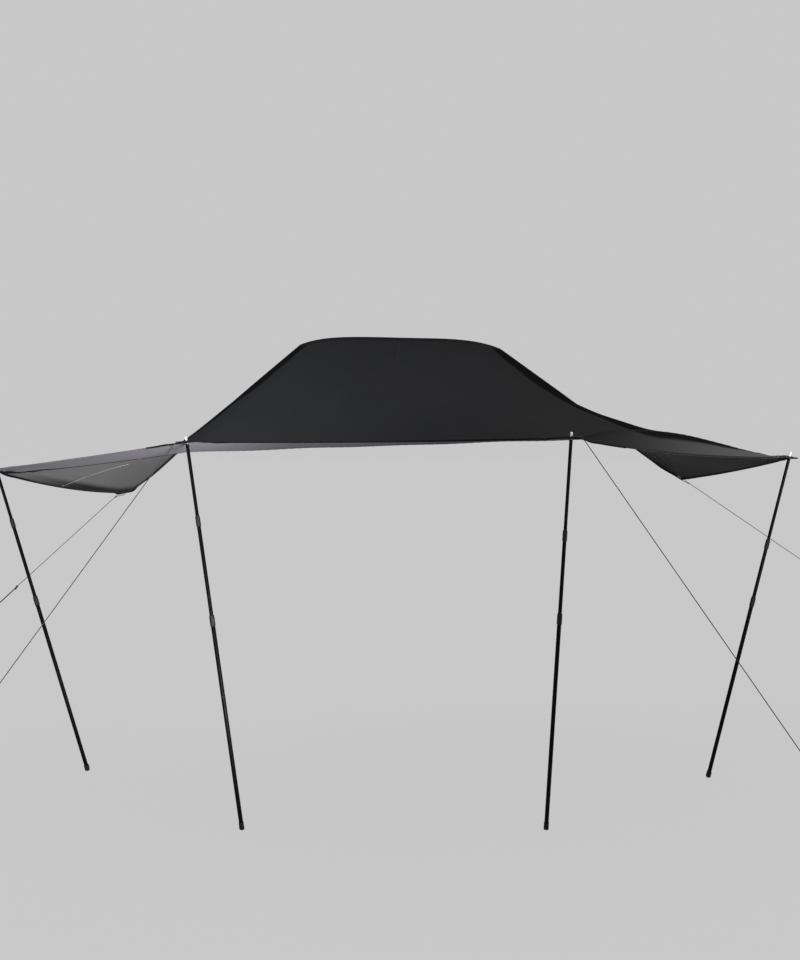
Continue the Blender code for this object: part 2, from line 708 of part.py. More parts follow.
def hang(made, pole, distance):
    made.parent = pole
    made.location = (0.0, 0.0, -distance)


for name, pole in POLES.items():
    eyelet = EYELETS[name]
    pivot = eyelet["centre"] + (FLANGE_BOTTOM - DOME_DROP) * eyelet["normal"]
    ground_point = np.array([*pole["foot"], -RAIL_HEIGHT])
    length = float(np.linalg.norm(pivot - ground_point))
    frame = bpy.data.objects.new("pole_axis_" + name, None)
    parts.objects.link(frame)
    frame.matrix_world = axes_frame(pivot, pivot - ground_point)
    lower_lock = length - LOWER_REACH
    upper_lock = lower_lock - pole["middle_shown"]
    hang(tip("tip_" + name), frame, 0.0)
    hang(tube("top_tube_" + name, TOP_RADIUS, 0.0, -SECTION_LENGTH), frame, 0.0)
    hang(collar("upper_lock_" + name, TOP_RADIUS, MIDDLE_RADIUS), frame, upper_lock)
    middle_top = -COLLAR_NECK - FIT_GAP
    middle = tube("middle_tube_" + name, MIDDLE_RADIUS, middle_top, middle_top - SECTION_LENGTH)
    hang(middle, frame, upper_lock)
    hang(collar("lower_lock_" + name, MIDDLE_RADIUS, LOWER_RADIUS), frame, lower_lock)
    lower = tube("lower_tube_" + name, LOWER_RADIUS, middle_top, SOLE - LOWER_REACH)
    hang(lower, frame, lower_lock)
    hang(foot("foot_" + name, pole["round"], ground), frame, length)


# Guy lines
def smooth_curve(points, spacing):
    """Points along a Catmull-Rom curve through the route, a spacing or less apart in its bends."""
    route = [Vector(p) for p in points]
    padded = [route[0] * 2 - route[1]] + route + [route[-1] * 2 - route[-2]]
    made = [route[0]]
    for p0, p1, p2, p3 in zip(padded, padded[1:], padded[2:], padded[3:]):
        bend = (p2 - p1).angle(p1 - p0) + (p3 - p2).angle(p2 - p1)
        steps = 1 if bend < 0.03 else max(1, math.ceil((p2 - p1).length / spacing))
        for step in range(1, steps + 1):
            t = step / steps
            made.append(
                0.5
                * (
                    2 * p1
                    + (p2 - p0) * t
                    + (2 * p0 - 5 * p1 + 4 * p2 - p3) * t**2
                    + (3 * p1 - p0 - 3 * p2 + p3) * t**3
                )
            )
    return made


def cord_tube(name, points):
    curve = bpy.data.curves.new(name, "CURVE")
    curve.dimensions = "3D"
    curve.bevel_depth = CORD_RADIUS
    curve.bevel_resolution = 2
    curve.use_fill_caps = True
    spline = curve.splines.new("POLY")
    spline.points.add(len(points) - 1)
    for point, place in zip(spline.points, points):
        point.co = (*place, 1.0)
    made = bpy.data.objects.new(name, curve)
    parts.objects.link(made)
    curve.materials.append(CORD_GREY)
    return made


# Route of a loop over a spigot, in millimetres: outwards, to the side, above the cloth
SPIGOT_LOOP = [
    (46, -4.6, 6.0),
    (38, -4.9, 6.8),
    (28, -6.0, 7.2),
    (15, -8.6, 7.0),
    (4, -9.4, 6.6),
    (-5, -7.9, 6.5),
    (-9.2, 0, 6.5),
    (-5, 7.9, 6.5),
    (4, 9.4, 6.6),
    (15, 8.0, 7.0),
    (28, 3.8, 7.4),
    (38, 1.2, 7.2),
    (48, 0.2, 6.4),
]
# Route of a loop up through a rear eyelet and out over the hem, in the same way. Its end lies on
# the under side of the taut line, given as the distance along the line and the distance under it.
EYELET_LOOP = [
    (17, 0, -11.2),
    (10, 0, -9.8),
    (5.1, 0, -5.8),
    (4.1, 0, 0),
    (4.3, 0, 3.6),
    (6.1, 0, 7.1),
    (10.5, 0, 7.7),
    (17, 0, 6.5),
    (26, 0, 5.7),
    (35, 0, 5.3),
    (43, 0, 3.6),
]
EYELET_LOOP_END = [(34, 4.6), (18, 6.5)]
MILLIMETRE = 0.001
LEAVE_SPIGOT = 0.058
LEAVE_EYELET = 0.050


def plate_mesh(name):
    """A flat bar with round ends and two round-ended slots, drawn in its own XY plane."""
    curve = bpy.data.curves.new(name, "CURVE")
    curve.dimensions = "2D"
    curve.fill_mode = "BOTH"
    curve.extrude = PLATE_THICK / 2

    def oval(middle, length, width):
        straight = (length - width) / 2
        outline = []
        for side, turn in ((1, -90), (-1, 90)):
            for step in range(5):
                angle = math.radians(turn + 45 * step)
                x = middle + side * straight + width / 2 * math.cos(angle)
                outline.append((x, width / 2 * math.sin(angle)))
        spline = curve.splines.new("POLY")
        spline.points.add(len(outline) - 1)
        spline.use_cyclic_u = True
        for point, (x, y) in zip(spline.points, outline):
            point.co = (x, y, 0.0, 1.0)

    oval(0.0, PLATE_LENGTH, PLATE_WIDTH)
    for side in (-1, 1):
        oval(side * SLOT_APART / 2, SLOT_LENGTH, SLOT_WIDTH)
    drawing = bpy.data.objects.new(name, curve)
    parts.objects.link(drawing)
    bpy.context.view_layer.update()
    graph = bpy.context.evaluated_depsgraph_get()
    mesh = bpy.data.meshes.new_from_object(drawing.evaluated_get(graph))
    bpy.data.objects.remove(drawing)
    form = bmesh.new()
    form.from_mesh(mesh)
    bmesh.ops.remove_doubles(form, verts=form.verts, dist=0.00001)
    bmesh.ops.recalc_face_normals(form, faces=form.faces)
    form.to_mesh(mesh)
    form.free()
    return mesh


tensioner_plate = plate_mesh("tensioner_plate")

for name, guy in GUYS.items():
    eyelet = EYELETS[name]
    centre, normal = Vector(eyelet["centre"]), Vector(eyelet["normal"])
    peg = Vector((*guy["peg"], -RAIL_HEIGHT))
    outward = peg - centre
    outward = (outward - normal * outward.dot(normal)).normalized()
    sideways = normal.cross(outward)
    leave = centre + outward * (LEAVE_SPIGOT if guy["over_spigot"] else LEAVE_EYELET)
    along = (peg - leave).normalized()
    under = (along * normal.dot(along) - normal).normalized()
    route = []
    if not guy["over_spigot"]:
        for distance, below in EYELET_LOOP_END:
            route.append(leave + (along * distance + under * below) * MILLIMETRE)
    for out, side, above in SPIGOT_LOOP if guy["over_spigot"] else EYELET_LOOP:
        route.append(centre + (outward * out + sideways * side + normal * above) * MILLIMETRE)
    turn_back = along.cross(Vector((0.0, 0.0, 1.0))).normalized()
    apart = SLOT_APART * math.sin(PLATE_ANGLE)

    def on_line(distance, share=0.0):
        return leave + along * distance + turn_back * (apart * share)

    first = on_line(0.012)
    for distance in (0.0, 0.030, 0.060):
        route.append(first + along * distance)
    route.append(on_line(guy["tensioner"] * 0.5))
    route.append(on_line(guy["tensioner"] - 0.05))
    route.append(on_line(guy["tensioner"] + 0.05))
    route.append(on_line(guy["loop"] - 0.03))
    for step in range(9):
        angle = math.radians(180 * step / 8)
        share = 0.5 - 0.5 * math.cos(angle)
        route.append(on_line(guy["loop"] + apart / 2 * math.sin(angle), share))
    route.append(on_line(guy["loop"] - 0.03, 1.0))
    route.append(on_line(guy["tensioner"] + 0.05, 1.0))
    route.append(on_line(guy["tensioner"] + SLOT_APART / 2 * math.cos(PLATE_ANGLE) - CORD_TAIL, 1.0))
    cord_tube("guy_" + name, smooth_curve(route, 0.004))
    plate = add_part("tensioner_" + name, tensioner_plate.copy(), PLATE_GREY)
    long_axis = along * math.cos(PLATE_ANGLE) + turn_back * math.sin(PLATE_ANGLE)
    flat_axis = turn_back * math.cos(PLATE_ANGLE) - along * math.sin(PLATE_ANGLE)
    plate.matrix_world = axes_frame(on_line(guy["tensioner"], 0.5), flat_axis, long_axis)

for made in parts.objects:
    if made.type == "MESH" and made.name.startswith(("front_panel", "rear_panel")):
        made.data.shade_smooth()

bpy.context.view_layer.update()
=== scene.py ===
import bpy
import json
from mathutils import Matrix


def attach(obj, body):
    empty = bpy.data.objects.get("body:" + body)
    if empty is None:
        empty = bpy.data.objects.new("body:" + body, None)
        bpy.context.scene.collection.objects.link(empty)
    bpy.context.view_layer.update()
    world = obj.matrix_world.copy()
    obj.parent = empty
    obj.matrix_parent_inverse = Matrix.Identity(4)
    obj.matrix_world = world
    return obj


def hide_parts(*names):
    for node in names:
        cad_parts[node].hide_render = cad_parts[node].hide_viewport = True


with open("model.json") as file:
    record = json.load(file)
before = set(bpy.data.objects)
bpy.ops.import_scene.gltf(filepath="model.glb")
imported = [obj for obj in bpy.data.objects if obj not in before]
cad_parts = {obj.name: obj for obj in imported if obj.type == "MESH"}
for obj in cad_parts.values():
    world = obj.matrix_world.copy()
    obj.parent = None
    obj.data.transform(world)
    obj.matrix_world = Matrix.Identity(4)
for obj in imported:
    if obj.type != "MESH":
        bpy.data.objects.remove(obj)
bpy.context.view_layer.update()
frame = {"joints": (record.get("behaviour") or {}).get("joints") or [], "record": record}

import json
import math

import bmesh
import bpy
import numpy as np
from mathutils import Matrix

# Tent awning: the cloth, tapes, poles and guys as they look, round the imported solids.
# Metres, +Z up, +Y towards the tent, origin in the middle of the rail bead.

mm = 0.001
record = frame["record"]
joints = {joint["name"]: joint for joint in frame["joints"]}
mounts = {mount["name"]: mount for mount in record["mounts"]}
ground = mounts["ground_front_left"]["pos_m"][2]


# Shape of the canopy, with the same values as its solids

canopyShape = {
    "railEnds": ((-0.742, 2.553), (0.748, 2.522)),    # to the side, over the ground
    "railReach": 0.010,
    "railArch": 0.068,
    "frontLeft": (-1.000, 2.150, 1.818),              # to the side, out from the rail, over the ground
    "frontRight": (0.799, 2.150, 1.836),
    "sideLeft": (-2.290, 1.470, 1.669),
    "sideRight": (2.166, 1.560, 1.745),
    "rearLeft": (-1.968, 0.210, 1.475),
    "rearRight": (2.014, 0.210, 1.567),
    "seamLeft": (-1.165, 1.560, 1.768),
    "seamRight": (0.979, 1.610, 1.838),
    "seamEndShare": 0.08,
    "seamV": 0.3,
    "frontSag": (0.004, 0.008, 0.038),
    "seamSag": (0.011, 0.0, -0.085),
    "seamSkew": 0.71,
    "rearSag": (0.042, 0.019),
    "sideSag": (0.033, 0.011),
    "fold": (1.1, -0.48),
    "belly": (0.017, -0.082),
    "creaseSpread": 0.10,
}
tapes = {
    "cloth": 1.0 * mm,
    "patchSize": 90 * mm,
    "patchHalf": 60 * mm,
    "beadRadius": 4 * mm,
    "beadOut": 10 * mm,
}
eyeletShape = {
    "bore": 7 * mm,
    "thick": 1 * mm,
    "fit": 0.3 * mm,
    "inset": 36 * mm,
    "frontInset": 42 * mm,
    "lean": 0.7,
    "flatRadius": 42 * mm,
    "flatFade": 105 * mm,
}


def cornerAt(x, reach, height):
    return np.array([x, -reach, height + ground])


shape = canopyShape
sideLeft, sideRight = cornerAt(*shape["sideLeft"]), cornerAt(*shape["sideRight"])
frontLeft, frontRight = cornerAt(*shape["frontLeft"]), cornerAt(*shape["frontRight"])
rearLeft, rearRight = cornerAt(*shape["rearLeft"]), cornerAt(*shape["rearRight"])
seamLeft, seamRight = cornerAt(*shape["seamLeft"]), cornerAt(*shape["seamRight"])
railLeft, railRight = (cornerAt(x, shape["railReach"], height) for x, height in shape["railEnds"])
seamEndLeft = sideLeft + (rearLeft - sideLeft) * shape["seamEndShare"]
seamEndRight = sideRight + (rearRight - sideRight) * shape["seamEndShare"]
seamV = shape["seamV"]


def hump(t):
    return 4 * t * (1 - t)    # 0 at both ends, 1 in the middle


def lateHump(t):
    return 14.93 * t**5 * (1 - t)    # 0 at both ends, 1 at five sixths


def earlyHump(t):
    return 6.75 * t * (1 - t) ** 2    # 0 at both ends, 1 at a third


# A line through four points, straight but for a drop in each third of it
def thirds(u, points, drops):
    t = [np.clip(u, 0, 1), np.clip(u - 1, 0, 1), np.clip(u - 2, 0, 1)]
    line = points[0] + sum((b - a) * s[..., None] for a, b, s in zip(points, points[1:], t))
    line[..., 2] -= sum(drop(s) for drop, s in zip(drops, t))
    return line


# Front hem: a hanging drop in each third
def frontLine(u):
    drops = [lambda t, sag=sag: sag * hump(t) for sag in shape["frontSag"]]
    return thirds(u, [sideLeft, frontLeft, frontRight, sideRight], drops)


# Cross seam: the same, with the right wing's drop leaning towards its inner end
def seamLine(u):
    sag, skew = shape["seamSag"], shape["seamSkew"]
    drops = [
        lambda t: sag[0] * hump(t),
        lambda t: sag[1] * hump(t),
        lambda t: sag[2] * (skew * earlyHump(t) + (1 - skew) * hump(t)),
    ]
    return thirds(u, [seamEndLeft, seamLeft, seamRight, seamEndRight], drops)


# Rear edge: late drops on the wings, and a flat-topped arch over the rail
def rearLine(u):
    drops = [
        lambda t: shape["rearSag"][0] * lateHump(1 - t),
        lambda t: -shape["railArch"] * (1 - np.abs(2 * t - 1) ** 4.5),
        lambda t: shape["rearSag"][1] * lateHump(t),
    ]
    return thirds(u, [rearLeft, railLeft, railRight, rearRight], drops)


# Fold of a wing: the smooth least of its two parameters, less their product, so 0 on all four edges
def wingFold(out, share, depth):
    spread = 0.0625 * hump(out) * hump(depth)
    return share * (0.5 * (out + depth - np.sqrt((out - depth) ** 2 + spread)) - out * depth)


# Ruled cloth: front hem to cross seam, cross seam to rear edge, plus the folds, sags and bellies
def ruledCanopy(u, v):
    front, seam, rear = frontLine(u), seamLine(u), rearLine(u)
    near = np.clip(v / seamV, 0, 1)[..., None]
    far = np.clip((v - seamV) / (1 - seamV), 0, 1)
    frontStrip = front + (seam - front) * near
    rearField = seam + (rear - seam) * far[..., None]
    cloth = np.where((v <= seamV)[..., None], frontStrip, rearField)
    leftOut, rightOut = np.clip(1 - u, 0, 1), np.clip(u - 2, 0, 1)
    leftTwist = seamLeft - seamEndLeft + rearLeft - railLeft
    rightTwist = seamRight - seamEndRight + rearRight - railRight
    cloth = cloth + wingFold(leftOut, shape["fold"][0], far)[..., None] * leftTwist
    cloth = cloth + wingFold(rightOut, shape["fold"][1], far)[..., None] * rightTwist
    along = shape["seamEndShare"] * near[..., 0] + (1 - shape["seamEndShare"]) * far
    sag = shape["sideSag"][0] * leftOut**2 + shape["sideSag"][1] * rightOut**2
    cloth[..., 2] -= sag * hump(along) * near[..., 0]
    bellies = shape["belly"][0] * hump(leftOut) + shape["belly"][1] * hump(rightOut)
    cloth[..., 2] += bellies * hump(far)
    return cloth


# The same with the creases behind the front corners rounded, by averaging with both sides
def softCanopy(u, v):
    far = np.clip((v - seamV) / (1 - seamV), 0, 1)
    window = np.exp(-(((u - 1) / 0.18) ** 2)) + np.exp(-(((u - 2) / 0.18) ** 2))
    step = shape["creaseSpread"] * hump(far) * window
    return 0.5 * ruledCanopy(u, v) + 0.25 * (ruledCanopy(u - step, v) + ruledCanopy(u + step, v))


# Metres of cloth to one unit of u, in the third that lies inward of u
def acrossSize(u, v, inward):
    start = np.clip(np.ceil(u) - 1 if inward < 0 else np.floor(u), 0, 2) + np.zeros_like(v)
    return np.linalg.norm(ruledCanopy(start + 1, v) - ruledCanopy(start, v), axis=-1)


# Metres of cloth to one unit of v, in the front strip or in the rear field
def backSize(u, inFront):
    low, high = (0.0, seamV) if inFront else (seamV, 1.0)
    start, end = ruledCanopy(u, np.full_like(u, low)), ruledCanopy(u, np.full_like(u, high))
    return np.linalg.norm(end - start, axis=-1) / (high - low)


# u and v of a point that lies across metres inward in u and back metres inward in v from a knot
def insetFrom(u, v, across, back):
    across, back = np.broadcast_arrays(np.asarray(across, float), np.asarray(back, float))
    one = np.ones_like(across)
    du = np.where(across < 0, across / acrossSize(u, v * one, -1), across / acrossSize(u, v * one, 1))
    return u + du, v + back / backSize(u * one, v < seamV)


def unit(vectors):
    return vectors / np.linalg.norm(vectors, axis=-1, keepdims=True)


# Upward normal, from the points a step away on each side
def normalOf(surface, u, v, step):
    across = surface(np.clip(u + step, 0, 3), v) - surface(np.clip(u - step, 0, 3), v)
    back = surface(u, np.clip(v + step, 0, 1)) - surface(u, np.clip(v - step, 0, 1))
    return unit(np.cross(across, back))


eyelets = {
    "side_left": (0, 0, 1, 1),    # corner in u and v, and the inward signs
    "front_left": (1, 0, 0, 1),
    "front_right": (2, 0, 0, 1),
    "side_right": (3, 0, -1, 1),
    "rear_left": (0, 1, 1, -1),
    "rear_right": (3, 1, -1, -1),
}
eyeletAt = {}
for name, (u, v, signU, signV) in eyelets.items():
    depth = eyeletShape["inset"] if signU else eyeletShape["frontInset"]
    eyeU, eyeV = insetFrom(u, v, signU * depth, signV * depth)
    centre = softCanopy(eyeU, eyeV)
    normal = normalOf(softCanopy, eyeU, eyeV, 0.012)
    if "ground_" + name in mounts:    # this corner stands on a pole, and leans towards it
        upPole = unit(centre - np.array(mounts["ground_" + name]["pos_m"]))
        normal = unit(normal * (1 - eyeletShape["lean"]) + upPole * eyeletShape["lean"])
    eyeletAt[name] = (centre, normal)


# The soft canopy drawn flat round each eyelet
def flatCanopy(u, v):
    cloth = softCanopy(u, v)
    for centre, normal in eyeletAt.values():
        away = cloth - centre
        distance = np.linalg.norm(away, axis=-1)
        fade = np.clip((distance - eyeletShape["flatRadius"]) / (eyeletShape["flatFade"] - eyeletShape["flatRadius"]), 0, 1)
        share = 1 - fade * fade * (3 - 2 * fade)
        cloth = cloth - ((away @ normal) * share)[..., None] * normal
    return cloth


folds = {
    "cornerHeight": 2.6 * mm,    # pull folds that fan out of each corner
    "cornerCount": 15,
    "cornerStart": 0.07,
    "cornerReach": 0.62,
    "billowHeight": 3.2 * mm,    # slow waves in the field
    "billowLength": 0.52,
    "puckerHeight": 0.5 * mm,    # drawn stitches next to seams and hems
    "puckerLength": 0.044,
    "puckerReach": 0.055,
}


# Height of the small folds: fans of sines about the corners, slow crossed sines, puckers at the seams
def foldHeight(cloth, u, v):
    height = np.zeros(u.shape)
    quiet = np.ones(u.shape)
    for turn, (centre, normal) in enumerate(eyeletAt.values()):
        away = cloth - centre
        distance = np.linalg.norm(away, axis=-1)
        angle = np.arctan2(away[..., 1], away[..., 0])
        rise = np.clip((distance - folds["cornerStart"]) / 0.10, 0, 1)
        fall = np.clip(1 - distance / folds["cornerReach"], 0, 1)
        wave = np.sin(folds["cornerCount"] * angle + 1.7 * turn) + 0.45 * np.sin(2.3 * folds["cornerCount"] * angle + turn)
        height += folds["cornerHeight"] * rise * rise * (3 - 2 * rise) * fall**1.5 * wave
        quiet *= np.clip((distance - 0.05) / 0.25, 0, 1)
    turnX, turnY = 2 * np.pi * cloth[..., 0] / folds["billowLength"], 2 * np.pi * cloth[..., 1] / folds["billowLength"]
    billow = np.sin(turnX + 0.6 * turnY + 0.4) + 0.7 * np.sin(0.55 * turnX - 1.1 * turnY + 2.1)
    edge = hump(np.clip(v, 0, 1)) ** 0.5 * np.clip(np.minimum(u, 3 - u) * 4, 0, 1)
    height += folds["billowHeight"] * 0.5 * billow * edge * quiet
    fromSeam = np.abs(v - seamV) * 2.0    # about metres away from the cross seam
    fromMiddle = np.where(v > seamV, np.abs(u - 1.5) * 1.7, 1.0)
    pucker = np.sin(2 * np.pi * cloth[..., 0] / folds["puckerLength"]) * np.exp(-fromSeam / folds["puckerReach"])
    pucker += np.sin(2 * np.pi * cloth[..., 1] / folds["puckerLength"]) * np.exp(-fromMiddle / folds["puckerReach"])
    height += folds["puckerHeight"] * pucker * quiet
    return height


# The canopy's middle layer with all its small folds
def canopy(u, v):
    cloth = flatCanopy(u, v)
    cloth[..., 2] += foldHeight(cloth, u, v)
    return cloth


# A layer of cloth that lies a lift over the middle of the canopy
def layer(u, v, lift):
    return canopy(u, v) + np.asarray(lift, float)[..., None] * normalOf(flatCanopy, u, v, 0.01)


print("shape: canopy worked out, eyelets at", {name: np.round(at[0], 3).tolist() for name, at in eyeletAt.items()})


# Meshes and materials

# A mesh of points and faces, with UVs in metres and, on the panels, in shares of the canopy
def buildMesh(name, points, faces, uv=None, slots=None, share=None):
    points = np.asarray(points, float).reshape(-1, 3)
    count, sides = faces.shape
    mesh = bpy.data.meshes.new(name)
    mesh.vertices.add(len(points))
    mesh.vertices.foreach_set("co", points.ravel())
    mesh.loops.add(count * sides)
    mesh.loops.foreach_set("vertex_index", faces.ravel().astype(np.int32))
    mesh.polygons.add(count)
    mesh.polygons.foreach_set("loop_start", np.arange(0, count * sides, sides, dtype=np.int32))
    if uv is not None:
        metres = mesh.uv_layers.new(name="metres")
        metres.data.foreach_set("uv", np.asarray(uv, float).reshape(-1, 2)[faces.ravel()].ravel())
    if share is not None:
        canopyShare = mesh.uv_layers.new(name="canopyShare")
        canopyShare.data.foreach_set("uv", np.asarray(share, float).reshape(-1, 2)[faces.ravel()].ravel())
    if slots is not None:
        mesh.polygons.foreach_set("material_index", np.asarray(slots, dtype=np.int32))
    mesh.update(calc_edges=True)
    mesh.validate()
    mesh.shade_smooth()
    return mesh


# Quads of a grid of rows by columns, whose rows or columns may close into a ring
def gridQuads(rows, columns, ringRows=False, ringColumns=False, start=0):
    index = np.arange(rows * columns).reshape(rows, columns) + start
    if ringRows:
        index = np.concatenate([index, index[:1]], 0)
    if ringColumns:
        index = np.concatenate([index, index[:, :1]], 1)
    return np.stack([index[:-1, :-1], index[1:, :-1], index[1:, 1:], index[:-1, 1:]], -1).reshape(-1, 4)


# Doubles merged, slivers dissolved, faces turned outwards, edges sharp past an angle in degrees
def tidied(mesh, sharp=None, merge=1e-6):
    form = bmesh.new()
    form.from_mesh(mesh)
    bmesh.ops.remove_doubles(form, verts=form.verts, dist=merge)
    bmesh.ops.dissolve_degenerate(form, edges=form.edges, dist=1e-7)
    bmesh.ops.recalc_face_normals(form, faces=form.faces)
    form.to_mesh(mesh)
    form.free()
    mesh.shade_smooth()
    if sharp:
        mesh.set_sharp_from_angle(angle=math.radians(sharp))
    return mesh


# A finished piece: it rides on its body, takes its slot's finish and stands for its solids
def addPiece(name, mesh, body, surfaces, replaces=()):
    piece = bpy.data.objects.new(name, mesh)
    bpy.context.scene.collection.objects.link(piece)
    for surface in surfaces:
        mesh.materials.append(surface)
    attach(piece, body)
    if replaces:
        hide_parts(*replaces)
    return piece


# World place of a local frame with z along an axis and x as near a hint as it can be
def placeAt(origin, zAxis, hint=(1.0, 0.0, 0.0)):
    z = unit(np.asarray(zAxis, float))
    x = unit(np.asarray(hint, float) - z * np.dot(hint, z))
    return np.column_stack([x, np.cross(z, x), z]), np.asarray(origin, float)


# Local points turned and moved to their place
def placed(points, place):
    turn, origin = place
    return points @ turn.T + origin


# Each inner corner of an outline cut back and bridged by a short quadratic curve
def rounded(points, radius, steps=3):
    points = [np.asarray(point, float) for point in points]
    made = [points[0]]
    for before, here, after in zip(points, points[1:], points[2:]):
        back, on = before - here, after - here
        reach = min(radius, 0.45 * np.linalg.norm(back), 0.45 * np.linalg.norm(on))
        first, last = here + unit(back) * reach, here + unit(on) * reach
        for t in np.linspace(0, 1, steps + 1):
            made.append((1 - t) ** 2 * first + 2 * t * (1 - t) * here + t**2 * last)
    return made + [points[-1]]


# Solid of revolution: the profile of radius and height goes round the place's z axis
def turnedMesh(name, profile, sides, place, ring=False, sharp=40, wobble=None):
    profile = np.asarray(profile, float)
    angle = 2 * np.pi * np.arange(sides) / sides
    radius = profile[:, 0][:, None] * np.ones(sides)
    if wobble:
        radius = radius + wobble(radius, profile[:, 1][:, None], angle[None, :])
    height = profile[:, 1][:, None] * np.ones(sides)
    points = np.stack([radius * np.cos(angle), radius * np.sin(angle), height], -1)
    run = np.concatenate([[0], np.cumsum(np.linalg.norm(np.diff(profile, axis=0), axis=1))])
    widest = profile[:, 0].max()
    uv = np.stack([run[:, None] * np.ones(sides), angle * widest * np.ones((len(profile), 1))], -1)
    quads = gridQuads(len(profile), sides, ringRows=ring, ringColumns=True)
    return tidied(buildMesh(name, placed(points, place), quads, uv), sharp)


# Frames that turn as little as they can along a path: each is the last, turned with the tangent
def framesAlong(path, hint=(0.0, 0.0, 1.0)):
    tangent = np.gradient(path, axis=0)
    tangent = unit(tangent)
    side = unit(np.cross(tangent[0], hint) + 1e-9)
    sides = [side]
    for here in tangent[1:]:
        side = unit(side - here * np.dot(side, here))
        sides.append(side)
    sides = np.array(sides)
    return tangent, sides, np.cross(tangent, sides)


# Round tube along a path: a circle in each frame, with a ring drawn in to a point at each end
def tubeMesh(name, path, radius, sides, ends=True):
    path = np.asarray(path, float)
    tangent, across, up = framesAlong(path)
    radii = np.full(len(path), radius)
    if ends:
        path = np.concatenate([path[:1], path[:1], path, path[-1:], path[-1:]])
        tangent, across, up = (np.concatenate([a[:1], a[:1], a, a[-1:], a[-1:]]) for a in (tangent, across, up))
        radii = np.concatenate([[0, radius * 0.7], radii, [radius * 0.7, 0]])
        path[[0, -1]] += tangent[[0, -1]] * np.array([[-0.5], [0.5]]) * radius
        path[[1, -2]] += tangent[[1, -2]] * np.array([[-0.35], [0.35]]) * radius
    angle = 2 * np.pi * np.arange(sides) / sides
    ring = across[:, None] * np.cos(angle)[None, :, None] + up[:, None] * np.sin(angle)[None, :, None]
    points = path[:, None] + ring * radii[:, None, None]
    run = np.concatenate([[0], np.cumsum(np.linalg.norm(np.diff(path, axis=0), axis=1))])
    # the uv goes once round with a doubled column, so that a braid meets itself
    points = np.concatenate([points, points[:, :1]], 1)
    turn = np.arange(sides + 1) / sides
    uv = np.stack(np.broadcast_arrays(run[:, None], turn[None, :]), -1)
    return tidied(buildMesh(name, points, gridQuads(len(path), sides + 1), uv))


def fromHex(code):
    parts = [int(code[i : i + 2], 16) / 255 for i in (1, 3, 5)]
    return (*[part / 12.92 if part <= 0.04045 else ((part + 0.055) / 1.055) ** 2.4 for part in parts], 1.0)


def addNode(tree, kind, settings=None, inputs=None):
    node = tree.nodes.new(kind)
    for key, value in (settings or {}).items():
        setattr(node, key, value)
    for key, value in (inputs or {}).items():
        if isinstance(value, bpy.types.NodeSocket):
            tree.links.new(value, node.inputs[key])
        else:
            node.inputs[key].default_value = value
    return node


# A line of straight stretches through points of u / 3 and v
def curveNode(tree, socket, points):
    node = addNode(tree, "ShaderNodeFloatCurve", inputs={"Value": socket})
    curve = node.mapping.curves[0]
    while len(curve.points) < len(points):
        curve.points.new(0.5, 0.5)
    for point, (u, v) in zip(curve.points, points):
        point.location = (u / 3, v)
        point.handle_type = "VECTOR"
    node.mapping.update()
    return node


def newMaterial(name, settings):
    made = bpy.data.materials.new(name)
    made.use_nodes = True
    shader = made.node_tree.nodes["Principled BSDF"]
    for key, value in settings.items():
        shader.inputs[key].default_value = value
    return made, made.node_tree, shader


